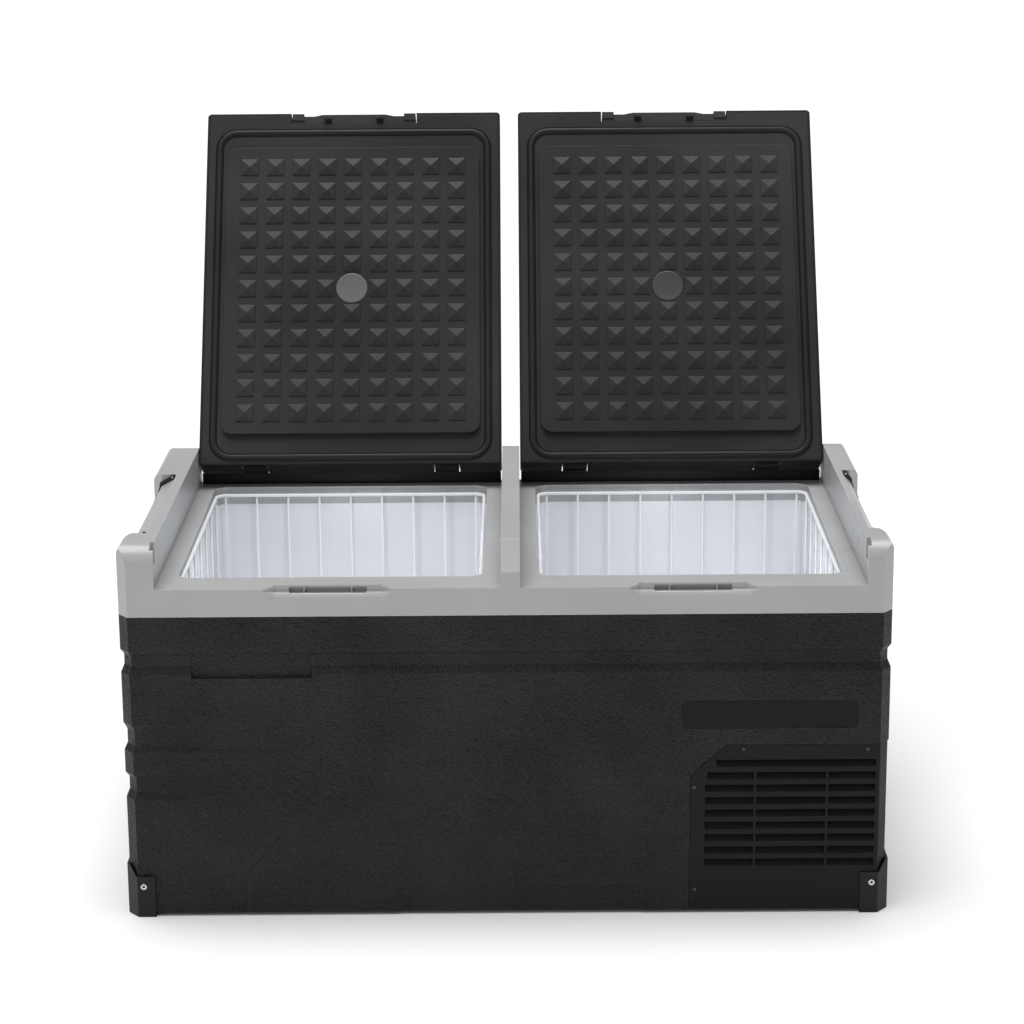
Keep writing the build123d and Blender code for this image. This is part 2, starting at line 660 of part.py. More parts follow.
def make_panel(c):
    """Inner panel of a lid: flange, gasket channel and a raised tray with pyramids."""
    w = bay_width / 2 - lid_gap - skin - 0.1
    lx = latch_half + latch_gap
    panel = block(c - w, c + w, y_at(skin + 0.1), y_at(lid_depth - skin - 0.1),
                  lid_floor, lid_floor + panel_thick)
    panel += rounded_block(c - plug_half, c + plug_half, y_at(plug_front), y_at(plug_back),
                           lid_floor - plug_deep, lid_floor + 0.5, plug_radius)
    panel -= rounded_block(c - plug_half + 3, c + plug_half - 3, y_at(plug_front + 3), y_at(plug_back - 3),
                           lid_floor - plug_deep + 3, lid_floor + panel_thick + 1, plug_radius - 3)
    channel = ring(c, gasket_out, gasket_front, gasket_back, gasket_radius, gasket_wide,
                   lid_floor - 1, lid_floor + 1.5)
    panel -= channel
    panel -= block(c - lx - 0.1, c + lx + 0.1, front - 1, y_at(14.1), lid_floor - 1, lid_floor + 5)
    base = lid_floor - plug_deep
    studs = []
    for x, y in stud_places(c):
        half = stud_size / 2
        studs.append(block(x - half, x + half, y - half, y + half, base - stud_step, base + 0.2))
        low = Pos(x, y, base - stud_step) * Rectangle(stud_size, stud_size)
        tip = Pos(x, y, base - stud_rise) * Rectangle(1.0, 1.0)
        studs.append(loft([low.face(), tip.face()], ruled=True))
    panel += studs
    # seat for the disc in the middle
    middle = y_at((plug_front + plug_back) / 2)
    panel -= Pos(c, middle, base) * Cylinder(disc_radius + 0.3, 2.0)
    return panel


def make_latch(c):
    """Latch handle: barrel, face plate with a raised middle, flat sole, ears and two hooks."""
    axis_y, axis_z = y_at(latch_axis_y), latch_axis_z
    low = lid_floor + 2.6
    latch = rod_x(c - latch_half, c + latch_half, axis_y, axis_z, 5.0)
    latch += block(c - latch_half, c + latch_half, y_at(3), y_at(6.5), low, axis_z)
    contour = [(c - 62, y_at(3.1)), (c - 52, y_at(3.1)), (c - 40, y_at(0.6)), (c + 40, y_at(0.6)),
               (c + 52, y_at(3.1)), (c + 62, y_at(3.1)), (c + 62, y_at(6)), (c - 62, y_at(6))]
    latch += plate_xy(contour, low, axis_z - 4)
    latch += block(c - latch_half, c + latch_half, y_at(3), y_at(sole_back), low, low + sole_thick)
    for s in (-1, 1):
        x0, x1 = sorted((c + s * (latch_half - 15), c + s * latch_half))
        latch += block(x0, x1, y_at(0), y_at(9), low - 1.6, axis_z - 2)
        latch += plate_yz([(y_at(hook_front), low + 1), (y_at(hook_front + 3.6), low + 1),
                           (y_at(hook_front + 3.6), deck_z - 3.5), (y_at(hook_front + 1.4), deck_z - 4.4),
                           (y_at(hook_front), deck_z - 3)], c + s * 33.5 - 4.5, c + s * 33.5 + 4.5)
    return latch - rod_x(c - 90, c + 90, axis_y, axis_z, latch_pin_r + run_gap)


def lid_filling(c):
    """Foam between a lid's cover and its inner panel."""
    w = bay_width / 2 - lid_gap - skin
    lx = latch_half + latch_gap + 8
    z0, z1 = lid_floor + panel_thick, top_z - skin
    foam = block(c - w, c + w, y_at(17), y_at(hinge_well - 3), z0 + 0.0, z1)
    foam += block(c - w, c - lx, y_at(skin), y_at(17), z0, z1)
    foam += block(c + lx, c + w, y_at(skin), y_at(17), z0, z1)
    return foam


for side in sides:
    c = bay_centre(side)
    keep("lid_cover_" + side, turned_open(make_cover(c)))
    keep("lid_panel_" + side, turned_open(make_panel(c)))
    gasket = ring(c, gasket_out - 0.1, gasket_front + 0.1, gasket_back - 0.1, gasket_radius - 0.1,
                  gasket_wide - 0.2, lid_floor - gasket_proud, lid_floor + 1.4)
    keep("lid_gasket_" + side, turned_open(gasket))
    middle = y_at((plug_front + plug_back) / 2)
    disc = Pos(c, middle, lid_floor - plug_deep) * Cylinder(disc_radius, 2.0)
    keep("lid_disc_" + side, turned_open(disc))
    keep("lid_foam_" + side, turned_open(lid_filling(c)))
    keep("latch_" + side, turned_open(make_latch(c)))
    lx = latch_half + latch_gap + 6
    pin = rod_x(c - lx, c + lx, y_at(latch_axis_y), latch_axis_z, latch_pin_r)
    keep("latch_pin_" + side, turned_open(pin))


# ---- tubs ---------------------------------------------------------------
tub_half = open_width / 2 + 1.0
tub_radius = open_radius + 1.0
step_x = half_w - 229.0   # where the right tub steps up over the compressor


def tub_space(side, grow):
    """The inside of a tub, grown outwards by grow."""
    c = bay_centre(side)
    y0, y1 = y_at(open_front - 1) - grow, y_at(open_back + 1) + grow
    x0, x1 = c - tub_half - grow, c + tub_half + grow
    low = liner_floor - grow
    if side == "left":
        return rounded_block(x0, x1, y0, y1, low, collar_z, tub_radius + grow)
    deep = rounded_block(x0, step_x - liner_wall * 2 + grow, y0, y1, low, collar_z, tub_radius + grow)
    return deep + rounded_block(x0, x1, y0, y1, step_floor - grow, collar_z, tub_radius + grow)


flange = 8.0
for side in sides:
    c = bay_centre(side)
    tub = tub_space(side, liner_wall)
    tub += rounded_block(c - tub_half - flange, c + tub_half + flange, y_at(open_front - 1) - flange,
                         y_at(open_back + 1) + flange, collar_z - 2.5, collar_z, tub_radius + flange)
    tub -= tub_space(side, 0)
    keep("tub_" + side, tub)


# ---- compressor bay -----------------------------------------------------
bay_x0 = bay_wall_x
bay_z0 = foot_drop + plate_thick
comp_x, comp_y = half_w - 120.0, back - 125.0
comp_radius = 62.0
comp_low = 27.0
comp_high = 168.0


def make_compressor():
    """Hermetic shell: drum with domed ends, stubs and a mounting saddle."""
    drum = rod_z(comp_x, comp_y, comp_low, comp_high, comp_radius)
    drum = fillet(drum.edges().filter_by(GeomType.CIRCLE), 20)
    saddle = block(comp_x - 84, comp_x + 84, comp_y - 50, comp_y + 50, comp_low - 3, comp_low + 1)
    drum += saddle
    drum += rod_x(comp_x - 80, comp_x - 40, comp_y + 20, 130, 5)
    drum += rod_x(comp_x - 80, comp_x - 40, comp_y - 20, 110, 4)
    for sx in (-1, 1):
        for sy in (-1, 1):
            drum -= rod_z(comp_x + sx * 76, comp_y + sy * 40, comp_low - 5, comp_low + 5, 4.0)
    return drum


keep("compressor", make_compressor())
grommets = []
for sx in (-1, 1):
    for sy in (-1, 1):
        foot = rod_z(comp_x + sx * 76, comp_y + sy * 40, bay_z0, comp_low - 3, 8)
        foot += rod_z(comp_x + sx * 76, comp_y + sy * 40, comp_low - 3, comp_low + 5, 3.9)
        grommets.append(foot.solid())
keep("compressor_grommets", Compound(grommets))

# condenser: a serpentine tube through a stack of fins, behind the front slots
coil_y = y_at(34)
coil_x0, coil_x1 = half_w - 193.0, half_w - 27.0
coil_rows = 6
coil_pitch = 24.0
coil_low = 38.0
coil_r = 3.5
path_parts = []
for row in range(coil_rows):
    z = coil_low + row * coil_pitch
    a, b = (coil_x0, coil_x1) if row % 2 == 0 else (coil_x1, coil_x0)
    path_parts.append(Line((a, coil_y, z), (b, coil_y, z)))
    if row < coil_rows - 1:
        bulge = coil_pitch / 2 if b > a else -coil_pitch / 2
        path_parts.append(ThreePointArc((b, coil_y, z), (b + bulge, coil_y, z + coil_pitch / 2),
                                        (b, coil_y, z + coil_pitch)))
coil_path = Wire(path_parts)
coil_start = Plane(origin=(coil_x0, coil_y, coil_low), z_dir=(1, 0, 0))
keep("condenser_coil", sweep(coil_start * Circle(coil_r), path=coil_path))

fins = []
fin_count = 18
fin_top = coil_low + (coil_rows - 1) * coil_pitch + 12
for k in range(fin_count):
    x = coil_x0 + 8 + k * (coil_x1 - coil_x0 - 16) / (fin_count - 1)
    fin = block(x - 0.5, x + 0.5, coil_y - 11, coil_y + 11, coil_low - 12, fin_top)
    for row in range(coil_rows):
        fin -= rod_x(x - 2, x + 2, coil_y, coil_low + row * coil_pitch, coil_r)
    fins.append(fin)
strip_low = block(coil_x0, coil_x1, coil_y - 11, coil_y + 11, coil_low - 14, coil_low - 12)
strip_high = block(coil_x0, coil_x1, coil_y - 11, coil_y + 11, fin_top, fin_top + 2)
leg_left = block(coil_x0 + 2, coil_x0 + 6, coil_y - 11, coil_y + 11, bay_z0, coil_low - 13)
leg_right = block(coil_x1 - 6, coil_x1 - 2, coil_y - 11, coil_y + 11, bay_z0, coil_low - 13)
keep("condenser_fins", strip_low + fins + [strip_high, leg_left, leg_right])

# fan behind the condenser
fan_x, fan_z = half_w - 110.0, 100.0
fan_y = y_at(74)
fan_half = 62.0
fan_deep = 25.0
rotor_r = 52.0
hub_r = 17.0


def make_shroud():
    """Square fan housing with a round throat and three arms that hold the motor."""
    box = block(fan_x - fan_half, fan_x + fan_half, fan_y - fan_deep / 2, fan_y + fan_deep / 2,
                fan_z - fan_half, fan_z + fan_half)
    box -= rod_y(fan_x, fan_y - 40, fan_y + 40, fan_z, rotor_r + 3)
    for k in range(3):
        arm = block(fan_x - 3, fan_x + 3, fan_y + fan_deep / 2 - 4, fan_y + fan_deep / 2, fan_z + hub_r - 2,
                    fan_z + rotor_r + 6)
        box += arm.rotate(Axis((fan_x, fan_y, fan_z), (0, 1, 0)), 120 * k)
    box += rod_y(fan_x, fan_y + fan_deep / 2 - 4, fan_y + fan_deep / 2, fan_z, hub_r)
    box += block(fan_x - fan_half, fan_x + fan_half, fan_y - 8, fan_y + 8, bay_z0, fan_z - fan_half)
    return box


def make_rotor():
    """Hub and seven pitched blades; the bore runs on the motor's shaft."""
    rotor = rod_y(fan_x, fan_y - 9, fan_y + 2, fan_z, hub_r)
    for k in range(7):
        blade = Pos(fan_x, fan_y - 3.5, fan_z + (hub_r + rotor_r) / 2 - 1)
        blade *= Rot(0, 0, 38) * Box(20, 1.6, rotor_r - hub_r + 2)
        blade &= rod_y(fan_x, fan_y - 12, fan_y + 5, fan_z, rotor_r)
        rotor += blade.rotate(Axis((fan_x, fan_y, fan_z), (0, 1, 0)), 360 / 7 * k)
    return rotor - rod_y(fan_x, fan_y - 6, fan_y + 10, fan_z, 2.0 + run_gap)


keep("fan_shroud", make_shroud())
keep("fan_rotor", make_rotor())
motor = rod_y(fan_x, fan_y + 4, fan_y + fan_deep / 2 - 4, fan_z, 14)
motor += rod_y(fan_x, fan_y - 5, fan_y + 5, fan_z, 2.0)
keep("fan_motor", motor)

# electronics on the bay's left wall
board_x = bay_x0 + 2
board = block(board_x, board_x + 1.6, y_at(140), y_at(270), 50, 150)
for k, (y, z, tall) in enumerate([(160, 70, 14), (190, 115, 10), (225, 80, 18), (250, 125, 8)]):
    board += block(board_x + 1, board_x + 1.6 + tall, y_at(y) - 9, y_at(y) + 9, z - 11, z + 11)
keep("control_board", board)
power_y = back - 95
power = block(bay_x0 + 2, bay_x0 + 38, power_y, power_y + 75, 40, 140)
for k in range(9):
    power -= block(bay_x0 + 30, bay_x0 + 39, power_y + 4 + k * 8, power_y + 7 + k * 8, 35, 145)
keep("power_module", power)

# cold plates bonded to the outside of each tub, inside the foam
cold_gap = liner_wall + tub_half
cold_span = {"left": (120.0, collar_z - 30), "right": (235.0, collar_z - 25)}   # low and high edge
for side in sides:
    c = bay_centre(side)
    z0, z1 = cold_span[side]
    y0, y1 = y_at(open_front - 1) - liner_wall, y_at(open_back + 1) + liner_wall
    cold = rounded_block(c - cold_gap - 2, c + cold_gap + 2, y0 - 2, y1 + 2, z0, z1,
                         tub_radius + liner_wall + 2)
    cold -= rounded_block(c - cold_gap, c + cold_gap, y0, y1, z0 - 1, z1 + 1, tub_radius + liner_wall)
    keep("evaporator_" + side, cold)

# lines from the compressor's stubs to the dryer and up to the cold plates
line_r = 3.0
line_y = back - 190      # where the second line turns up to the dryer


def bent_line(points, radius):
    path = FilletPolyline(*points, radius=radius)
    start = Plane(origin=path @ 0, z_dir=path % 0)
    return sweep(start * Circle(line_r), path=path)


line_one = bent_line([(comp_x - 80, comp_y + 20, 130), (comp_x - 92, comp_y + 20, 130),
                      (comp_x - 92, comp_y + 20, bay_roof - 4)], 10)
line_two = bent_line([(comp_x - 80, comp_y - 20, 110), (comp_x - 92, comp_y - 20, 110),
                      (comp_x - 92, line_y, 110), (comp_x - 92, line_y, 175), (comp_x - 40, line_y, 175)], 9)
keep("refrigerant_lines", Compound([line_one.solid(), line_two.solid()]))
dryer = rod_x(comp_x - 40, comp_x + 50, line_y, 175, 10)
dryer = fillet(dryer.edges().filter_by(GeomType.CIRCLE), 5)
keep("filter_dryer", dryer)


# ---- foam between the casing and the tubs -------------------------------
def make_foam():
    fill = plan_slab(case_wall, inner_low, case_top)
    for side in sides:
        c = bay_centre(side)
        fill -= tub_space(side, liner_wall)
        z0, z1 = cold_span[side]
        y0, y1 = y_at(open_front - 1) - liner_wall, y_at(open_back + 1) + liner_wall
        fill -= rounded_block(c - cold_gap - 2, c + cold_gap + 2, y0 - 2, y1 + 2, z0, z1,
                              tub_radius + liner_wall + 2)
        fill -= rounded_block(c - tub_half - flange, c + tub_half + flange, y_at(open_front - 1) - flange,
                              y_at(open_back + 1) + flange, collar_z - 2.5, case_top + 20,
                              tub_radius + flange)
    fill -= block(bay_x0 - 1, half_w + 1, front, back, 0, bay_roof)
    return fill


keep("foam_insulation", make_foam())


# ---- sockets, control panel and lights ---------------------------------
panel_y0, panel_y1 = back - 122, back - 28
panel_low, panel_high = 246.0, 276.0
panel_out = half_w + 1.6
dc_y, ac_y = back - 147, back - 104     # middles of the power inlets


def side_pocket(y0, y1, z0, z1, deep):
    """Shallow pocket in the right side of the casing."""
    return block(half_w - deep, half_w + 5, y0, y1, z0, z1)


shell = nodes["outer_shell"]
shell -= side_pocket(panel_y0, panel_y1, panel_low, panel_high, 5.0)
shell -= side_pocket(dc_y - 13, dc_y + 13, 100, 126, case_wall + 1)
shell -= side_pocket(ac_y - 18, ac_y + 18, 96, 130, case_wall + 1)
keep("outer_shell", shell)

fascia = block(half_w - 4.8, panel_out, panel_y0 + 0.2, panel_y1 - 0.2, panel_low + 0.2, panel_high - 0.2)
window = (panel_y0 + 8, panel_y0 + 38, 254.0, 270.0)
fascia -= block(half_w - 0.4, panel_out + 1, *window)
button_y = [panel_y0 + 48 + 11.5 * k for k in range(4)]
button_z = 262.0
button_r = 4.0
for y in button_y:
    fascia -= rod_x(half_w - 4, panel_out + 1, y, button_z, button_r + 0.4)
keep("control_panel", fascia)
keep("display_window", block(half_w - 0.4, panel_out - 0.3, window[0] + 0.05, window[1] - 0.05,
                             window[2] + 0.05, window[3] - 0.05))
for name, y in zip(("power", "set", "plus", "minus"), button_y):
    cap = rod_x(half_w - 2.4, panel_out + 0.8, y, button_z, button_r)
    keep("button_" + name, cap)

dc = block(half_w - case_wall - 10, half_w + 0.8, dc_y - 12.6, dc_y + 12.6, 100.4, 125.6)
dc -= rod_x(half_w - 8, half_w + 2, dc_y, 113, 8.5)
dc += rod_x(half_w - 9, half_w - 1, dc_y, 116, 1.4)
dc += rod_x(half_w - 9, half_w - 1, dc_y, 110, 1.4)
keep("dc_inlet", dc)
ac = block(half_w - case_wall - 12, half_w + 0.8, ac_y - 17.6, ac_y + 17.6, 96.4, 129.6)
ac -= rounded_block(half_w - 10, half_w + 2, ac_y - 12, ac_y + 12, 104, 122, 1.0)
for y in (ac_y - 6, ac_y + 6):
    ac += block(half_w - 11, half_w - 2, y - 1.5, y + 1.5, 111, 115)
keep("ac_inlet", ac)

for side in sides:
    c = bay_centre(side)
    x = c + sides[side] * tub_half
    x0, x1 = sorted((x, x - sides[side] * 2.0))
    keep("light_lens_" + side, block(x0, x1, y_at(90), y_at(130), collar_z - 20, collar_z - 8))

keep("top_frame", top_frame)


# ---- baskets ------------------------------------------------------------
rim_radius = 14.0        # outer corner of a basket's rim
rim_end = 9.0            # the front and back grids' rims start this far from the sides
wire_columns = int((2 * basket_half - 20) / wire_pitch_x) + 1
wire_rows = int((basket_back - basket_front - 30) / wire_pitch_y) + 1


def make_basket(side):
    """Welded wire basket as five flat grids that meet face to face: four walls with the rim, and a floor."""
    c = bay_centre(side)
    t, w = thin_wire, wire_thick
    x0, x1 = c - basket_half, c + basket_half
    y0, y1 = y_at(basket_front), y_at(basket_back)
    low = (liner_floor if side == "left" else step_floor) + 1.0
    rim_low = basket_rim - w
    rim = rounded_block(x0, x1, y0, y1, rim_low, basket_rim, rim_radius)
    rim -= rounded_block(x0 + w, x1 - w, y0 + w, y1 - w, rim_low - 1, basket_rim + 1, rim_radius - w)
    rim_front = rim & block(x0 + rim_end, x1 - rim_end, y0, y0 + rim_radius, rim_low, basket_rim)
    rim_back = rim & block(x0 + rim_end, x1 - rim_end, y1 - rim_radius, y1, rim_low, basket_rim)
    rim_left = rim & block(x0, x0 + rim_end, y0, y1, rim_low, basket_rim)
    rim_right = rim & block(x1 - rim_end, x1, y0, y1, rim_low, basket_rim)
    wall = (w - t) / 2
    columns = [c + (k - (wire_columns - 1) / 2) * wire_pitch_x for k in range(wire_columns)]
    rows = [(y0 + y1) / 2 + (k - (wire_rows - 1) / 2) * wire_pitch_y for k in range(wire_rows)]
    floor = []
    for x in columns:
        rim_front += block(x - t / 2, x + t / 2, y0 + wall, y0 + wall + t, low, rim_low)
        rim_back += block(x - t / 2, x + t / 2, y1 - wall - t, y1 - wall, low, rim_low)
        floor.append(block(x - t / 2, x + t / 2, y0 + wall + t, y1 - wall - t, low, low + t))
    for y in rows:
        rim_left += block(x0 + wall, x0 + wall + t, y - t / 2, y + t / 2, low, rim_low)
        rim_right += block(x1 - wall - t, x1 - wall, y - t / 2, y + t / 2, low, rim_low)
        floor.append(block(x0 + wall + t, x1 - wall - t, y - t / 2, y + t / 2, low, low + t))
    grid = floor[0] + floor[1:]
    return Compound([rim_front.solid(), rim_back.solid(), rim_left.solid(), rim_right.solid(), grid.solid()])


for side in sides:
    keep("basket_" + side, make_basket(side))


# ---- write --------------------------------------------------------------
os.makedirs("parts", exist_ok=True)
for name, shape in nodes.items():
    export_step(shape, "parts/" + name + ".step")
print(len(nodes), "nodes written")
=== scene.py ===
# %% [markdown]
# A cooler fridge with two lids: black casing, grey top frame, wire baskets.
# The shapes that carry load or move come from the CAD model, which is loaded
# here as a fixed frame. This lesson gives them their finishes, and builds the
# pieces that a CAD solid can't show well: bent wire, soft gaskets, turned
# screws and discs, the display's digits and the marks on the buttons.

# %% Load the frame
import math
import bpy
import numpy as np
from mathutils import Matrix, Vector


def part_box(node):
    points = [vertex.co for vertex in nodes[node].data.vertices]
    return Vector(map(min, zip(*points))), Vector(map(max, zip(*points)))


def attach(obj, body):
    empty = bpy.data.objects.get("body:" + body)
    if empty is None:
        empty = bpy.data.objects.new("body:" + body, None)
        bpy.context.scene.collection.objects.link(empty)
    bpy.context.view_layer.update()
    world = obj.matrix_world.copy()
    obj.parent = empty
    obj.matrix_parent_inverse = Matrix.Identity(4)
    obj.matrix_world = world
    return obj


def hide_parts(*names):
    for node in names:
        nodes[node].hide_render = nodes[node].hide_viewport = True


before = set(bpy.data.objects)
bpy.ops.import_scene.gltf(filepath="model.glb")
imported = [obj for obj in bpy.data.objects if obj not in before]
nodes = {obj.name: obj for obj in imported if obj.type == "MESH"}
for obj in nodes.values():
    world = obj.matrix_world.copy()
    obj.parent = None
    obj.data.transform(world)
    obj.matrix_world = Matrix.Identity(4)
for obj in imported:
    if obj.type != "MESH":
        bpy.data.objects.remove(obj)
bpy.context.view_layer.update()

# %% [markdown]
# The CAD is drawn in millimetres and Blender works in metres. The lids are
# stored open, so a lid's new pieces are worked out lying shut, where their
# sizes are easy to state, and are then turned about the hinge.

# %% Measurements shared by several pieces
MM = 0.001
FRONT = -245.0
BAY = {"left": -194.0, "right": 206.0}
HINGE = np.array([0.0, FRONT + 469.6, 406.2])
OPEN = math.radians(120.8)


def turned_open(points):
    """Points of a shut lid turned back about the hinge line: a plain rotation in Y and Z."""
    y, z = points[..., 1] - HINGE[1], points[..., 2] - HINGE[2]
    c, s = math.cos(OPEN), math.sin(OPEN)
    return np.stack([points[..., 0], HINGE[1] + y * c + z * s, HINGE[2] - y * s + z * c], -1)


print("a lid's front edge stands at", turned_open(np.array([0.0, FRONT, 430.5])).round(1))

# %% [markdown]
# Every new shape below is a grid of points: row by row and column by column,
# worked out as one array. Two small helpers turn such grids into a mesh. A grid
# can be closed round either way, and an open end is capped with one face.

# %% Grids to meshes
def grid_faces(rows, columns, wrap_rows, wrap_columns, start=0):
    """Four-sided faces between neighbouring points of a rows by columns grid."""
    i = np.arange(rows if wrap_rows else rows - 1)[:, None]
    j = np.arange(columns if wrap_columns else columns - 1)[None, :]
    i2, j2 = (i + 1) % rows, (j + 1) % columns
    quads = np.stack([i * columns + j, i * columns + j2, i2 * columns + j2, i2 * columns + j], -1)
    return (quads.reshape(-1, 4) + start).tolist()


def solid_from(name, grids, material, body, stands_for=(), smooth=True):
    """One mesh object from grids given as (points, wrap_rows, wrap_columns, cap), in millimetres."""
    points, faces, start = [], [], 0
    for grid, wrap_rows, wrap_columns, cap in grids:
        rows, columns = grid.shape[:2]
        faces += grid_faces(rows, columns, wrap_rows, wrap_columns, start)
        if cap:
            faces.append(list(range(start + columns - 1, start - 1, -1)))
            faces.append(list(range(start + (rows - 1) * columns, start + rows * columns)))
        points.append(grid.reshape(-1, 3))
        start += rows * columns
    mesh = bpy.data.meshes.new(name)
    mesh.from_pydata((np.concatenate(points) * MM).tolist(), [], faces)
    mesh.polygons.foreach_set("use_smooth", np.full(len(mesh.polygons), smooth))
    mesh.validate()
    piece = bpy.data.objects.new(name, mesh)
    bpy.context.scene.collection.objects.link(piece)
    mesh.materials.append(material)
    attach(piece, body)
    if stands_for:
        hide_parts(*stands_for)
    print(name, len(mesh.polygons), "faces")
    return piece


# %% [markdown]
# A wire, a gasket and a cord all have the same recipe: a flat outline carried
# along a path. A path here lies in one plane, so the plane's own normal serves
# as one direction of the outline, and the path's tangent gives the other.

# %% Paths with rounded corners, and outlines carried along them
def bent_path(corners, radius, steps=6, closed=False):
    """Straight runs joined by arcs: each corner is replaced by points at equal angles on its arc."""
    p = np.asarray(corners, float)
    before, after = np.roll(p, 1, 0), np.roll(p, -1, 0)
    a = (before - p) / np.linalg.norm(before - p, axis=1, keepdims=True)
    b = (after - p) / np.linalg.norm(after - p, axis=1, keepdims=True)
    half = np.arccos(np.clip((a * b).sum(1), -1, 1)) / 2
    middle = (a + b) / np.linalg.norm(a + b, axis=1, keepdims=True)
    centre = p + middle * (radius / np.sin(half))[:, None]
    start = p + a * (radius / np.tan(half))[:, None] - centre
    end = p + b * (radius / np.tan(half))[:, None] - centre
    sweep = (math.pi - 2 * half)[:, None, None]
    t = np.linspace(0, 1, steps + 1)[None, :, None]
    arcs = (np.sin((1 - t) * sweep) * start[:, None] + np.sin(t * sweep) * end[:, None]) / np.sin(sweep)
    arcs = centre[:, None] + arcs
    if closed:
        return arcs.reshape(-1, 3)
    return np.concatenate([p[:1], arcs[1:-1].reshape(-1, 3), p[-1:]])


def carried(outline, path, normal, closed=False):
    """Outline (across, up) at every point of a flat path: across lies in the plane, up along its normal."""
    ahead = np.roll(path, -1, 0) - np.roll(path, 1, 0)
    if not closed:
        ahead[0], ahead[-1] = path[1] - path[0], path[-1] - path[-2]
    ahead /= np.linalg.norm(ahead, axis=1, keepdims=True)
    up = np.asarray(normal, float)
    side = np.cross(ahead, up)
    return (path[:, None] + outline[None, :, :1] * side[:, None] + outline[None, :, 1:] * up)


def circle(radius, count):
    """Round outline with that many points."""
    t = np.arange(count) * 2 * math.pi / count
    return np.stack([np.cos(t), np.sin(t)], -1) * radius


def rectangle(x0, x1, y0, y1, z):
    """Corners of a level rectangle, anticlockwise from above."""
    return [(x0, y0, z), (x1, y0, z), (x1, y1, z), (x0, y1, z)]


print("a bent wire of", len(bent_path([(0, 0, 0), (50, 0, 0), (50, 0, 50)], 10)), "points")

# %% [markdown]
# A turned piece, such as a screw head, is a profile of radius and height swept
# round an axis. The radius may also change with the angle, which is how the
# six-sided socket of a screw is made from the same formula.

# %% Turned pieces
def hexagon(angle, corner):
    """Radius of a six-sided hole at an angle, where corner is its largest radius."""
    return corner * math.cos(math.pi / 6) / np.cos((angle + math.pi / 6) % (math.pi / 3) - math.pi / 6)


def turned(profile, centre, axis, count=36, hexed=()):
    """Profile (radius, height) round an axis; the rows named in hexed are six-sided."""
    r, h = np.asarray(profile, float).T
    angle = np.arange(count) * 2 * math.pi / count
    radius = np.repeat(r[:, None], count, 1)
    for row in hexed:
        radius[row] = hexagon(angle, r[row])
    up = np.asarray(axis, float)
    side = np.cross(up, [0.0, 0.0, 1.0] if abs(up[2]) < 0.9 else [1.0, 0.0, 0.0])
    side /= np.linalg.norm(side)
    other = np.cross(up, side)
    around = np.cos(angle)[:, None] * side + np.sin(angle)[:, None] * other
    return np.asarray(centre, float) + radius[..., None] * around[None] + h[:, None, None] * up


print("hexagon radii", hexagon(np.array([0.0, math.pi / 6]), 2.0).round(3))

# %% [markdown]
# Camera: a long lens set back about three metres and looking down a little, as
# for a catalogue picture, so the box's edges stay nearly parallel.

# %% Camera
CAMERA_PLACE = (0.0167, -3.1387, 1.2222)
YAW, PITCH, ROLL = math.radians(-0.168), math.radians(14.622), math.radians(-0.437)
ahead = np.array([math.sin(YAW) * math.cos(PITCH), math.cos(YAW) * math.cos(PITCH), -math.sin(PITCH)])
level = np.array([math.cos(YAW), -math.sin(YAW), 0.0])
above = np.cross(level, ahead)
right = math.cos(ROLL) * level + math.sin(ROLL) * above
upward = math.cos(ROLL) * above - math.sin(ROLL) * level
camera_data = bpy.data.cameras.new("camera")
camera_data.lens, camera_data.sensor_width = 97.11, 36.0
camera = bpy.data.objects.new("camera", camera_data)
placement = np.eye(4)
placement[:3, :] = np.column_stack([right, upward, -ahead, CAMERA_PLACE])
camera.matrix_world = Matrix(placement.tolist())
bpy.context.scene.collection.objects.link(camera)
bpy.context.scene.camera = camera
print("camera looks", ahead.round(3))

# %% [markdown]
# Light: a pale room all round, a wide soft sky light from above for the bright
# tops, and a weaker one in front so that the black faces keep some shape. The
# fridge's own lamps are on: each tub has a small cool light under its rim.

# %% Light and floor
world = bpy.data.worlds.new("pale_room")
world.use_nodes = True
world.node_tree.nodes["Background"].inputs["Color"].default_value = (0.98, 0.99, 1.0, 1)
world.node_tree.nodes["Background"].inputs["Strength"].default_value = 0.3
bpy.context.scene.world = world


def soft_light(name, place, target, size, power):
    """Square area light that faces a target."""
    data = bpy.data.lights.new(name, "AREA")
    data.energy, data.size = power, size
    light = bpy.data.objects.new(name, data)
    light.location = place
    light.rotation_euler = (Vector(target) - Vector(place)).to_track_quat("-Z", "Y").to_euler()
    bpy.context.scene.collection.objects.link(light)
    return light


sky_data = bpy.data.lights.new("sky", "SUN")
sky_data.energy, sky_data.angle = 2.9, math.radians(44)
sky = bpy.data.objects.new("sky", sky_data)
sky.rotation_euler = (math.radians(-2), math.radians(-4), 0)
bpy.context.scene.collection.objects.link(sky)
soft_light("front_left", (-2.2, -2.8, 1.9), (0, 0, 0.3), 1.8, 11)
for side, c in BAY.items():
    lamp_data = bpy.data.lights.new("lamp_" + side, "POINT")
    lamp_data.energy, lamp_data.shadow_soft_size, lamp_data.color = 0.56, 0.05, (0.95, 0.98, 1.0)
    lamp = bpy.data.objects.new("lamp_" + side, lamp_data)
    lamp.location = (c * MM, -0.06, 0.335)
    bpy.context.scene.collection.objects.link(lamp)
floor_mesh = bpy.data.meshes.new("floor")
reach = 40.0
floor_corners = [(-reach, -reach, 0), (reach, -reach, 0), (reach, reach, 0), (-reach, reach, 0)]
floor_mesh.from_pydata(floor_corners, [], [(0, 1, 2, 3)])
floor = bpy.data.objects.new("floor", floor_mesh)
bpy.context.scene.collection.objects.link(floor)
floor_paint = bpy.data.materials.new("floor_paint")
floor_paint.use_nodes = True
floor_shader = floor_paint.node_tree.nodes["Principled BSDF"]
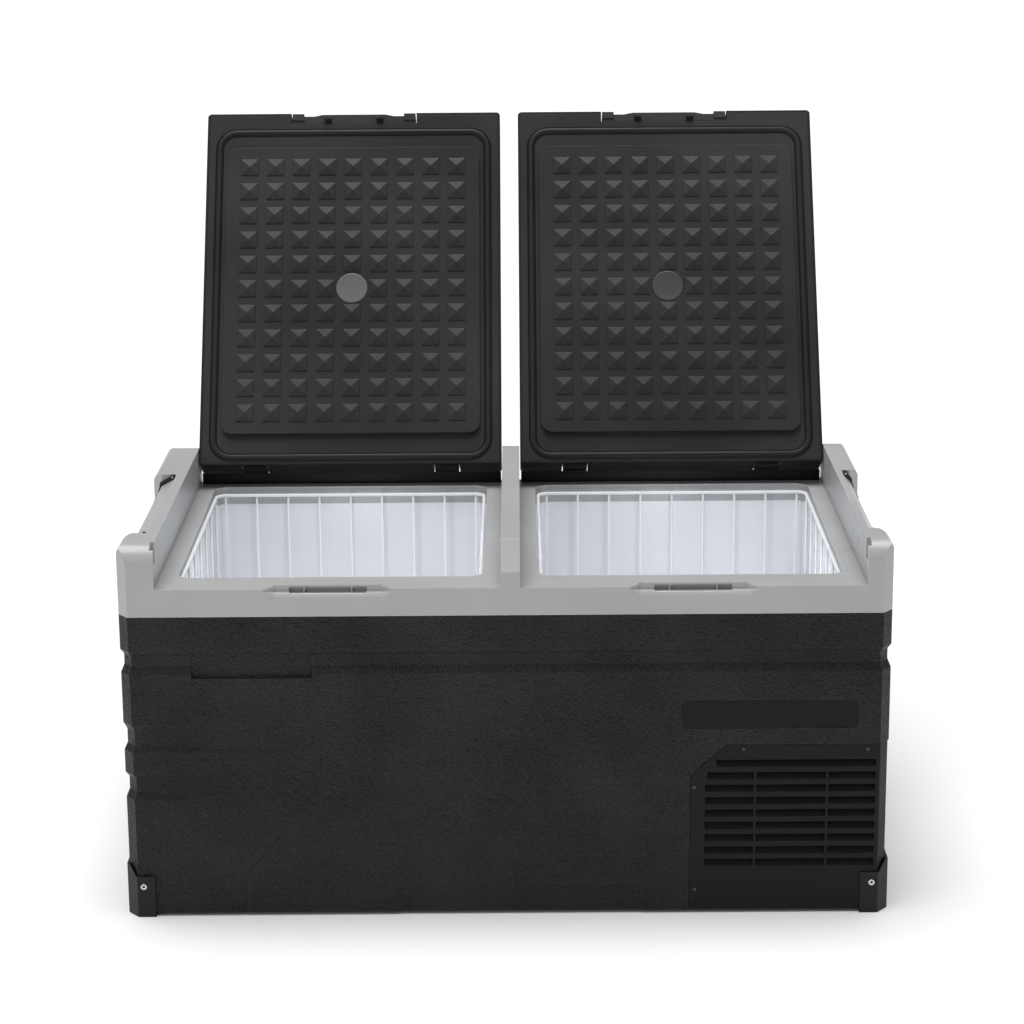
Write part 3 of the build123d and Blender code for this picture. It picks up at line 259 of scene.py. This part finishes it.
floor_shader.inputs["Base Color"].default_value = (0.93, 0.93, 0.93, 1)
floor_shader.inputs["Roughness"].default_value = 0.9
floor_shader.inputs["Specular IOR Level"].default_value = 0.1
floor_mesh.materials.append(floor_paint)
bpy.context.scene.view_settings.view_transform = "Standard"

# %% [markdown]
# Finishes. Moulded plastic is never one flat colour: its tool leaves a fine grain, its gloss
# wanders a little from place to place, and corners are rubbed brighter and carry a painted
# highlight where they catch the light. Each effect is a small node group, built once and used
# by many materials with their own values. Patterns read the piece's own coordinates.

# %% A helper for node groups
def new_group(name, inputs, outputs):
    """Empty shader group with named sockets; returns the group, its nodes and its ends."""
    group = bpy.data.node_groups.new(name, "ShaderNodeTree")
    for label, kind, value in inputs:
        socket = group.interface.new_socket(name=label, in_out="INPUT", socket_type=kind)
        if value is not None:
            socket.default_value = value
    for label, kind in outputs:
        group.interface.new_socket(name=label, in_out="OUTPUT", socket_type=kind)
    return group, group.nodes.new("NodeGroupInput"), group.nodes.new("NodeGroupOutput")


def node(tree, kind, settings=None, **links):
    """Add a node, set its properties, and fill sockets by name with values or links."""
    made = tree.nodes.new(kind)
    for key, value in (settings or {}).items():
        setattr(made, key, value)
    for key, value in links.items():
        label = key.replace("_", " ")
        socket = made.inputs[int(key[1:])] if key[0] == "i" and key[1:].isdigit() else made.inputs[label]
        if isinstance(value, bpy.types.NodeSocket):
            tree.links.new(value, socket)
        else:
            socket.default_value = value
    return made


# %% Group: moulded grain
grain, g_in, g_out = new_group(
    "Moulded grain",
    [("Vector", "NodeSocketVector", None), ("Scale", "NodeSocketFloat", 900.0),
     ("Wander", "NodeSocketFloat", 6.0), ("Dark", "NodeSocketColor", (0.02, 0.02, 0.02, 1)),
     ("Light", "NodeSocketColor", (0.03, 0.03, 0.03, 1)),
     ("Smoothest", "NodeSocketFloat", 0.4), ("Roughest", "NodeSocketFloat", 0.6)],
    [("Color", "NodeSocketColor"), ("Roughness", "NodeSocketFloat"), ("Height", "NodeSocketFloat")])
fine = node(grain, "ShaderNodeTexNoise", Vector=g_in.outputs["Vector"], Scale=g_in.outputs["Scale"],
            Detail=2.0)
broad = node(grain, "ShaderNodeTexNoise", Vector=g_in.outputs["Vector"], Scale=g_in.outputs["Wander"],
             Detail=4.0)
spread = node(grain, "ShaderNodeMapRange", Value=broad.outputs["Fac"], From_Min=0.3, From_Max=0.7)
tint = node(grain, "ShaderNodeMix", {"data_type": "RGBA"}, i0=spread.outputs["Result"],
            i6=g_in.outputs["Dark"], i7=g_in.outputs["Light"])
gloss = node(grain, "ShaderNodeMapRange", Value=spread.outputs["Result"], To_Min=g_in.outputs["Smoothest"],
             To_Max=g_in.outputs["Roughest"])
grain.links.new(tint.outputs[2], g_out.inputs["Color"])
grain.links.new(gloss.outputs["Result"], g_out.inputs["Roughness"])
grain.links.new(fine.outputs["Fac"], g_out.inputs["Height"])
print("group", grain.name, len(grain.nodes), "nodes")

# %% [markdown]
# The casing has a coarser skin, like fine leather: small rounded pebbles. A
# Voronoi pattern gives the pebbles, softened, and noise bends their rows so that
# no grid shows.

# %% Group: pebbled skin
pebble, p_in, p_out = new_group(
    "Pebbled skin",
    [("Vector", "NodeSocketVector", None), ("Scale", "NodeSocketFloat", 500.0),
     ("Dark", "NodeSocketColor", (0.01, 0.01, 0.01, 1)), ("Light", "NodeSocketColor", (0.02, 0.02, 0.02, 1)),
     ("Smoothest", "NodeSocketFloat", 0.45), ("Roughest", "NodeSocketFloat", 0.65)],
    [("Color", "NodeSocketColor"), ("Roughness", "NodeSocketFloat"), ("Height", "NodeSocketFloat")])
bend = node(pebble, "ShaderNodeTexNoise", Vector=p_in.outputs["Vector"], Scale=240.0, Detail=1.0)
shifted = node(pebble, "ShaderNodeVectorMath", {"operation": "MULTIPLY_ADD"}, i0=bend.outputs["Color"],
               i1=(0.0012, 0.0012, 0.0012), i2=p_in.outputs["Vector"])
cells = node(pebble, "ShaderNodeTexVoronoi", {"feature": "SMOOTH_F1"}, Vector=shifted.outputs["Vector"],
             Scale=p_in.outputs["Scale"], Smoothness=0.6)
lumps = node(pebble, "ShaderNodeTexNoise", Vector=p_in.outputs["Vector"], Scale=140.0, Detail=3.0)
height = node(pebble, "ShaderNodeMath", {"operation": "MULTIPLY_ADD"}, i0=lumps.outputs["Fac"], i1=0.5,
              i2=cells.outputs["Distance"])
flow = node(pebble, "ShaderNodeTexNoise", Vector=p_in.outputs["Vector"], Scale=9.0, Detail=5.0)
shade = node(pebble, "ShaderNodeMath", {"operation": "MULTIPLY_ADD"}, i0=cells.outputs["Distance"], i1=0.7,
             i2=flow.outputs["Fac"])
spread = node(pebble, "ShaderNodeMapRange", Value=shade.outputs["Value"], From_Min=0.45, From_Max=1.15)
tint = node(pebble, "ShaderNodeMix", {"data_type": "RGBA"}, i0=spread.outputs["Result"],
            i6=p_in.outputs["Light"], i7=p_in.outputs["Dark"])
gloss = node(pebble, "ShaderNodeMapRange", Value=spread.outputs["Result"], To_Min=p_in.outputs["Smoothest"],
             To_Max=p_in.outputs["Roughest"])
pebble.links.new(tint.outputs[2], p_out.inputs["Color"])
pebble.links.new(gloss.outputs["Result"], p_out.inputs["Roughness"])
pebble.links.new(height.outputs["Value"], p_out.inputs["Height"])
print("group", pebble.name, len(pebble.nodes), "nodes")

# %% [markdown]
# Metal that was drawn, rolled or brushed has fine lines one way. Squeezing the
# coordinates along the line direction turns round noise into streaks.

# %% Group: drawn metal
drawn, d_in, d_out = new_group(
    "Drawn metal",
    [("Vector", "NodeSocketVector", None), ("Stretch", "NodeSocketVector", (1.0, 40.0, 40.0)),
     ("Dark", "NodeSocketColor", (0.4, 0.4, 0.4, 1)), ("Light", "NodeSocketColor", (0.6, 0.6, 0.6, 1)),
     ("Smoothest", "NodeSocketFloat", 0.2), ("Roughest", "NodeSocketFloat", 0.4)],
    [("Color", "NodeSocketColor"), ("Roughness", "NodeSocketFloat"), ("Height", "NodeSocketFloat")])
squeezed = node(drawn, "ShaderNodeVectorMath", {"operation": "MULTIPLY"}, i0=d_in.outputs["Vector"],
                i1=d_in.outputs["Stretch"])
streaks = node(drawn, "ShaderNodeTexNoise", Vector=squeezed.outputs["Vector"], Scale=30.0, Detail=4.0)
tint = node(drawn, "ShaderNodeMix", {"data_type": "RGBA"}, i0=streaks.outputs["Fac"], i6=d_in.outputs["Dark"],
            i7=d_in.outputs["Light"])
gloss = node(drawn, "ShaderNodeMapRange", Value=streaks.outputs["Fac"], To_Min=d_in.outputs["Smoothest"],
             To_Max=d_in.outputs["Roughest"])
drawn.links.new(tint.outputs[2], d_out.inputs["Color"])
drawn.links.new(gloss.outputs["Result"], d_out.inputs["Roughness"])
drawn.links.new(streaks.outputs["Fac"], d_out.inputs["Height"])
print("group", drawn.name, len(drawn.nodes), "nodes")

# %% [markdown]
# Corners of a moulding catch the light because they are rounded, and hands rub them brighter.
# Comparing a rounded normal with the true one finds the edges; the group turns that into a mask
# and breaks it up with noise. The colour laid on the edges is partly rubbed wear, partly a painted highlight.

# %% Group: rubbed edges with a painted edge highlight
rubbed_and_highlit, r_in, r_out = new_group(
    "Rubbed and highlit edges",
    [("Vector", "NodeSocketVector", None), ("Rounded", "NodeSocketVector", None),
     ("Flat", "NodeSocketVector", None),
     ("Color", "NodeSocketColor", (0.1, 0.1, 0.1, 1)), ("Worn", "NodeSocketColor", (0.3, 0.3, 0.3, 1)),
     ("Amount", "NodeSocketFloat", 0.3)],
    [("Color", "NodeSocketColor")])
agree = node(rubbed_and_highlit, "ShaderNodeVectorMath", {"operation": "DOT_PRODUCT"}, i0=r_in.outputs["Rounded"],
             i1=r_in.outputs["Flat"])
edge = node(rubbed_and_highlit, "ShaderNodeMapRange", Value=agree.outputs["Value"], From_Min=0.995, From_Max=0.75)
patchy = node(rubbed_and_highlit, "ShaderNodeTexNoise", Vector=r_in.outputs["Vector"], Scale=60.0, Detail=3.0)
amount = node(rubbed_and_highlit, "ShaderNodeMath", {"operation": "MULTIPLY"}, i0=edge.outputs["Result"],
              i1=patchy.outputs["Fac"])
strength = node(rubbed_and_highlit, "ShaderNodeMath", {"operation": "MULTIPLY", "use_clamp": True},
                i0=amount.outputs["Value"], i1=r_in.outputs["Amount"])
# edges are mixed towards the bright colour: partly rubbed wear, partly a painted highlight
tint = node(rubbed_and_highlit, "ShaderNodeMix", {"data_type": "RGBA"}, i0=strength.outputs["Value"],
            i6=r_in.outputs["Color"], i7=r_in.outputs["Worn"])
rubbed_and_highlit.links.new(tint.outputs[2], r_out.inputs["Color"])
print("group", rubbed_and_highlit.name, len(rubbed_and_highlit.nodes), "nodes")

# %% [markdown]
# One function joins a base group, the rubbed edges with their painted highlight and a bump
# to a Principled shader. Numbers that are the same all over, such as the specular level, are
# set on the shader itself.

# %% The material maker
def grey(value, blue=0.0):
    """Nearly neutral colour, a touch bluer if asked."""
    return (value * (1 - blue), value * (1 - blue * 0.4), value * (1 + blue), 1)


def finish(name, dark, light, gloss_range, group=grain, scale=None, depth=0.00003, specular=0.35, edge=0.5,
           edge_wear_and_highlight=None, round_off=0.0006, metallic=0.0, coat=0.0, **extra):
    """Principled material whose colour, roughness and bump come from one group, with rubbed edges and a
    painted edge highlight.
    """
    material = bpy.data.materials.new(name)
    material.use_nodes = True
    tree = material.node_tree
    shader = tree.nodes["Principled BSDF"]
    place = node(tree, "ShaderNodeTexCoord")
    base = node(tree, "ShaderNodeGroup", {"node_tree": group}, Vector=place.outputs["Object"], Dark=dark,
                Light=light, Smoothest=gloss_range[0], Roughest=gloss_range[1])
    if scale is not None:
        base.inputs["Scale"].default_value = scale
    for label, value in extra.items():
        base.inputs[label].default_value = value
    rounded = node(tree, "ShaderNodeBevel", {"samples": 4}, Radius=round_off)
    true = node(tree, "ShaderNodeNewGeometry")
    # edge colour: partly rubbed wear, partly a painted highlight; by default 2.2 times the light tone
    wear_and_highlight = edge_wear_and_highlight or tuple(min(1.0, c * 2.2) for c in light[:3]) + (1,)
    rub_and_highlight = node(tree, "ShaderNodeGroup", {"node_tree": rubbed_and_highlit}, Vector=place.outputs["Object"],
               Rounded=rounded.outputs["Normal"], Flat=true.outputs["Normal"], Color=base.outputs["Color"],
               Worn=wear_and_highlight, Amount=edge)
    relief = node(tree, "ShaderNodeBump", Strength=1.0, Distance=depth, Height=base.outputs["Height"],
                  Normal=rounded.outputs["Normal"])
    tree.links.new(rub_and_highlight.outputs["Color"], shader.inputs["Base Color"])
    tree.links.new(base.outputs["Roughness"], shader.inputs["Roughness"])
    tree.links.new(relief.outputs["Normal"], shader.inputs["Normal"])
    shader.inputs["Specular IOR Level"].default_value = specular
    shader.inputs["Metallic"].default_value = metallic
    shader.inputs["Coat Weight"].default_value = coat
    shader.inputs["Coat Roughness"].default_value = 0.15
    return material


# %% [markdown]
# The plastics. The casing is the darkest and roughest, the lids a little
# lighter, the top frame a satin mid grey, and the tubs a cool glossy white.

# %% Plastics
# the casing's edges are painted much lighter than its skin: a painted highlight along grooves and corners,
# with some rubbed wear
casing = finish("casing_skin", grey(0.002, 0.03), grey(0.017, 0.03), (0.32, 0.56), pebble, scale=430.0,
                depth=0.001, specular=0.26, edge=0.9, edge_wear_and_highlight=grey(0.08), round_off=0.0018)
nameplate = finish("nameplate_satin", grey(0.005), grey(0.007), (0.36, 0.46), specular=0.16, depth=0.000008)
vent = finish("vent_satin", grey(0.005), grey(0.008), (0.36, 0.5), specular=0.17, depth=0.000012)
guard = finish("guard_satin", grey(0.008, 0.02), grey(0.012, 0.02), (0.38, 0.52), specular=0.24,
               depth=0.00002)
# the frame's edges are painted near white: a painted highlight along the rails and the well, with some rubbed
# wear
frame_grey = finish("frame_satin", grey(0.38, 0.004), grey(0.42, 0.004), (0.26, 0.38), specular=0.5,
                    depth=0.00001, scale=1500.0, edge=1.6, edge_wear_and_highlight=grey(0.8), round_off=0.0011)
lid_outer = finish("lid_skin", grey(0.007, 0.02), grey(0.012, 0.02), (0.4, 0.56), pebble, scale=900.0,
                   depth=0.00015, specular=0.24)
lid_inner = finish("lid_liner", grey(0.012, 0.02), grey(0.017, 0.02), (0.32, 0.44), specular=0.42,
                   depth=0.000012)
gasket_vinyl = finish("gasket_vinyl", grey(0.006), grey(0.009), (0.42, 0.55), specular=0.3, depth=0.00002,
                      round_off=0.0003)
latch_plastic = finish("latch_satin", grey(0.02, 0.02), grey(0.027, 0.02), (0.35, 0.48), specular=0.4)
handle_plastic = finish("handle_satin", grey(0.010), grey(0.014), (0.35, 0.5), specular=0.38)
# nearly black: the hinge's own black plastic, darkened further as painted shade for the dark band under the
# lids
hinge_black_and_painted_shade = finish("hinge_satin_and_shade", grey(0.003), grey(0.005), (0.4, 0.5), specular=0.12)
disc_light = finish("disc_light", grey(0.12), grey(0.15), (0.3, 0.4), specular=0.45)
disc_dark = finish("disc_dark", grey(0.04), grey(0.055), (0.3, 0.4), specular=0.45)
tub_white = finish("tub_gloss", grey(0.82, 0.03), grey(0.87, 0.025), (0.16, 0.26), specular=0.5,
                   depth=0.000006, scale=60.0, edge=0.1, edge_wear_and_highlight=grey(0.95))
panel_black = finish("panel_black", grey(0.012), grey(0.016), (0.25, 0.35), specular=0.45)
socket_black = finish("socket_black", grey(0.014), grey(0.02), (0.35, 0.5), specular=0.4)
fan_black = finish("fan_black", grey(0.012), grey(0.018), (0.35, 0.5), specular=0.4)
button_rubber = finish("button_rubber", grey(0.06), grey(0.08), (0.55, 0.7), specular=0.25)
foot_rubber = finish("foot_rubber", grey(0.010), grey(0.016), (0.65, 0.8), pebble, 700.0, 0.0001, 0.2)
lens_white = finish("lens_frosted", grey(0.78), grey(0.86), (0.35, 0.5), specular=0.5, edge=0.1)
board_green = finish("board_mask", (0.01, 0.10, 0.035, 1), (0.02, 0.16, 0.05, 1), (0.25, 0.4), specular=0.5)
foam_cream = finish("foam_cells", (0.62, 0.54, 0.34, 1), (0.78, 0.70, 0.48, 1), (0.8, 0.95), pebble,
                    scale=900.0, depth=0.0004, specular=0.15, edge=0.2)
print("plastics:", len(bpy.data.materials) - 1)

# %% [markdown]
# The metals: bright zinc screws, ground pins, copper tube, rolled aluminium,
# black enamel on the compressor, and white dip coating on the baskets.

# %% Metals and coated metals
zinc = finish("zinc_bright", grey(0.55), grey(0.75), (0.18, 0.32), drawn, depth=0.00001, metallic=1.0,
              specular=0.5)
pin_steel = finish("pin_ground", grey(0.42), grey(0.58), (0.25, 0.4), drawn, depth=0.000006, metallic=1.0)
black_zinc = finish("screw_black", grey(0.02), grey(0.035), (0.35, 0.5), specular=0.5)
copper = finish("copper_drawn", (0.55, 0.23, 0.12, 1), (0.78, 0.40, 0.24, 1), (0.22, 0.4), drawn,
                depth=0.00001, metallic=1.0)
aluminium = finish("aluminium_rolled", grey(0.55), grey(0.72), (0.28, 0.45), drawn, depth=0.00001,
                   metallic=1.0)
enamel = finish("enamel_black", grey(0.008), grey(0.012), (0.15, 0.28), specular=0.5, coat=0.4, scale=120.0,
                depth=0.00003)
powder = finish("powder_black", grey(0.014), grey(0.022), (0.5, 0.65), pebble, 1500.0, 0.00006, 0.35)
dip_white = finish("dip_white", grey(0.80, 0.02), grey(0.86, 0.015), (0.22, 0.34), specular=0.5,
                   scale=300.0, depth=0.00003, edge=0.0)
motor_steel = finish("motor_can", grey(0.35), grey(0.5), (0.3, 0.45), drawn, depth=0.00001, metallic=1.0)
print("materials:", len(bpy.data.materials))

# %% [markdown]
# The display is a dark window. Its glow is a separate set of small bars.

# %% Display materials
window_dark = finish("display_window", grey(0.004), grey(0.006), (0.06, 0.12), specular=0.6, depth=0.000002,
                     edge=0.1)
glow = finish("segment_glow", (0.5, 0.75, 0.9, 1), (0.6, 0.85, 1.0, 1), (0.4, 0.5), edge=0.0)
glow_shader = glow.node_tree.nodes["Principled BSDF"]
glow_shader.inputs["Emission Color"].default_value = (0.55, 0.85, 1.0, 1)
glow_shader.inputs["Emission Strength"].default_value = 1.2
mark_white = finish("mark_white", grey(0.6), grey(0.7), (0.4, 0.5), edge=0.0)

# %% Put the finishes on the CAD nodes
finishes = {
    casing: ["outer_shell"], nameplate: ["nameplate"], vent: ["vent_cover"], powder: ["base_plate"],
    foot_rubber: ["centre_foot", "compressor_grommets"],
    guard: [n for n in nodes if n.startswith("corner_protector")],
    frame_grey: ["top_frame"], handle_plastic: ["handle_left", "handle_right"],
    pin_steel: ["handle_pins", "hinge_pins", "latch_pin_left", "latch_pin_right"],
    hinge_black_and_painted_shade: ["hinge_posts"], lid_outer: ["lid_cover_left", "lid_cover_right"],
    lid_inner: ["lid_panel_left", "lid_panel_right"], gasket_vinyl: ["lid_gasket_left", "lid_gasket_right"],
    disc_light: ["lid_disc_left"], disc_dark: ["lid_disc_right"],
    latch_plastic: ["latch_left", "latch_right"],
    foam_cream: ["lid_foam_left", "lid_foam_right", "foam_insulation"], tub_white: ["tub_left", "tub_right"],
    enamel: ["compressor", "condenser_coil", "condenser_fins"], copper: ["refrigerant_lines", "filter_dryer"],
    aluminium: ["evaporator_left", "evaporator_right", "power_module"],
    fan_black: ["fan_shroud", "fan_rotor"], motor_steel: ["fan_motor"], board_green: ["control_board"],
    panel_black: ["control_panel"], window_dark: ["display_window"], socket_black: ["dc_inlet", "ac_inlet"],
    button_rubber: [n for n in nodes if n.startswith("button_")],
    lens_white: ["light_lens_left", "light_lens_right"], black_zinc: ["vent_screws"], zinc: ["corner_screws"],
    dip_white: ["basket_left", "basket_right"],
}
for material, names in finishes.items():
    for name in names:
        nodes[name].data.materials.clear()
        nodes[name].data.materials.append(material)
finished = {n for names in finishes.values() for n in names}
print("nodes without a finish:", sorted(set(nodes) - finished))

# %% [markdown]
# Baskets. A real one is bent from coated wire: a thick rim hoop, and thin
# U-shaped wires that run down one wall, across the floor and up the other. Each
# wire is a round outline carried along a bent path.

# %% Baskets
RIM_WIRE, THIN_WIRE = 2.0, 1.5
BASKET_HALF, BASKET_FRONT, BASKET_BACK, BASKET_TOP = 168.5, 52.0, 446.0, 377.0
FLOOR_OF = {"left": 79.0, "right": 215.0}


def basket_wires(side):
    """All of a basket's wires as grids: the rim hoop, then the wires front to back, then side to side."""
    c, low = BAY[side], FLOOR_OF[side]
    x0, x1 = c - BASKET_HALF + RIM_WIRE, c + BASKET_HALF - RIM_WIRE
    y0, y1 = FRONT + BASKET_FRONT + RIM_WIRE, FRONT + BASKET_BACK - RIM_WIRE
    top = BASKET_TOP - RIM_WIRE
    hoop = bent_path(rectangle(x0, x1, y0, y1, top), 12.0, 8, closed=True)
    grids = [(carried(circle(RIM_WIRE, 12), hoop, (0, 0, 1), True), True, True, False)]
    for k in range(9):
        x = c + (k - 4) * 39.0
        path = bent_path([(x, y0, top), (x, y0, low + 1.6), (x, y1, low + 1.6), (x, y1, top)], 11.0)
        grids.append((carried(circle(THIN_WIRE, 10), path, (1, 0, 0)), False, True, True))
    for k in range(7):
        y = (y0 + y1) / 2 + (k - 3) * 58.0
        path = bent_path([(x0, y, top), (x0, y, low + 4.4), (x1, y, low + 4.4), (x1, y, top)], 11.0)
        grids.append((carried(circle(THIN_WIRE, 10), path, (0, 1, 0)), False, True, True))
    return grids


for side in BAY:
    solid_from("basket_wires_" + side, basket_wires(side), dip_white, side + "_basket", ["basket_" + side])

# %% [markdown]
# Gaskets. A fridge gasket is a soft vinyl tube with a magnet inside: a rounded
# face between two thin lips. Its outline is carried round the lid once.

# %% Gaskets
def gasket_outline(count=40):
    """Height across the gasket: a crown in the middle, a groove each side and a lip at each edge."""
    u = np.linspace(-1, 1, count)
    crown = 1.7 * np.sqrt(np.clip(1 - (u / 0.72) ** 2, 0, 1)) ** 0.7
    lip = 1.15 * np.exp(-((np.abs(u) - 0.9) / 0.09) ** 2)
    face = np.stack([u * 4.8, 0.15 + np.maximum(crown - 0.15, lip)], -1)
    return np.concatenate([face, [(4.8, -1.3), (-4.8, -1.3)]])


for side, c in BAY.items():
    line = bent_path(rectangle(c - 172, c + 172, FRONT + 26.4, FRONT + 464.6, 384.0), 23.0, 12, closed=True)
    ring = turned_open(carried(gasket_outline(), line, (0, 0, -1), True))
    solid_from("gasket_ring_" + side, [(ring, True, True, False)], gasket_vinyl, side + "_lid",
               ["lid_gasket_" + side])

# %% [markdown]
# Discs. Each lid's liner has a round cap in the middle, slightly dished.

# %% Centre discs
disc_profile = [(0.01, 0.55), (6, 0.5), (12, 0.55), (16.5, 0.75), (18.6, 0.95), (19.4, 0.9), (19.9, 0.5),
                (19.9, -0.9), (0.01, -0.9)]
for side, c in BAY.items():
    cap = turned(disc_profile, (c, FRONT + 243, 378.0), (0, 0, -1), 72)
    solid_from("disc_cap_" + side, [(turned_open(cap), False, True, True)],
               disc_light if side == "left" else disc_dark, side + "_lid", ["lid_disc_" + side])

# %% [markdown]
# Screws. The bright ones hold the corner guards and have a six-sided socket.

# %% Corner screws
head = [(0.01, -0.3), (1.75, -0.3), (1.75, 1.15), (2.0, 1.3), (3.1, 1.25), (3.6, 0.95), (3.8, 0.5),
        (3.8, -0.6), (0.01, -0.6)]
head_radius, head_rise = 3.8, 1.3
low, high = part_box("corner_screws")
half_x = (high.x - low.x) / 2 / MM - head_radius
face_y = (high.y - low.y) / 2 / MM - head_rise
screw_z = (low.z + high.z) / 2 / MM
heads = []
for sx in (-1, 1):
    for sy in (-1, 1):
        screw = turned(head, (sx * half_x, sy * face_y, screw_z), (0, sy, 0), 36, hexed=(1, 2))
        heads.append((screw, False, True, True))
solid_from("guard_screws", heads, zinc, "root", ["corner_screws"])

# %% [markdown]
# The control panel shows a temperature in seven-bar digits, and each button has
# a raised mark: a ring with a bar for power, a ring for set, then plus and
# minus. All are flat six-sided bars and thin rings just proud of the surface.

# %% Digits and button marks
low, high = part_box("display_window")
glass_x, digit_y, digit_z = high.x / MM, (low.y + high.y) / 2 / MM, (low.z + high.z) / 2 / MM


def bar(x, y, z, length, thick, upright):
    """Flat bar with pointed ends on a face that looks along +X, 0.12 mm proud."""
    a, b = length / 2, thick / 2
    outline = np.array([(-a, 0), (-a + b, -b), (a - b, -b), (a, 0), (a - b, b), (-a + b, b)])
    if upright:
        outline = outline[:, ::-1]
    across, up = y + outline[:, 0], z + outline[:, 1]
    rows = [np.column_stack([np.full(6, x + step), across, up]) for step in (-0.1, 0.12)]
    return np.stack(rows), False, True, True


def loop(x, y, z, radius):
    """Thin raised ring on a face that looks along +X."""
    t = np.arange(40) * 2 * math.pi / 40
    path = np.column_stack([np.full(40, x), y + radius * np.cos(t), z + radius * np.sin(t)])
    return carried(circle(0.28, 8), path, (1, 0, 0), True), True, True, False


# bars of a digit: middle, top and bottom, then the left and right uprights
BAR_AT = {"top": (0, 5, 0), "middle": (0, 0, 0), "bottom": (0, -5, 0), "upper_left": (-2.6, 2.5, 1),
          "upper_right": (2.6, 2.5, 1), "lower_left": (-2.6, -2.5, 1), "lower_right": (2.6, -2.5, 1)}
DIGITS = [["top", "bottom", "upper_left", "upper_right", "lower_left", "lower_right"],
          ["top", "middle", "bottom", "upper_left", "lower_right"]]
segments = []
for place, lit in zip((-5.5, 4.5), DIGITS):
    for name in lit:
        dy, dz, upright = BAR_AT[name]
        segments.append(bar(glass_x, digit_y + place + dy, digit_z + dz, 4.4, 1.1, upright))
segments.append(loop(glass_x, digit_y + 11.0, digit_z + 4.2, 0.9))
solid_from("display_digits", segments, glow, "root", smooth=False)
for name in ("power", "set", "plus", "minus"):
    low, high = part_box("button_" + name)
    x, y, z = high.x / MM, (low.y + high.y) / 2 / MM, (low.z + high.z) / 2 / MM
    marks = {"power": [loop(x, y, z, 1.7), bar(x, y, z + 1.7, 1.8, 0.5, True)], "set": [loop(x, y, z, 1.7)],
             "plus": [bar(x, y, z, 3.4, 0.6, False), bar(x, y, z, 3.4, 0.6, True)],
             "minus": [bar(x, y, z, 3.4, 0.6, False)]}[name]
    solid_from("mark_" + name, marks, mark_white, name + "_button")
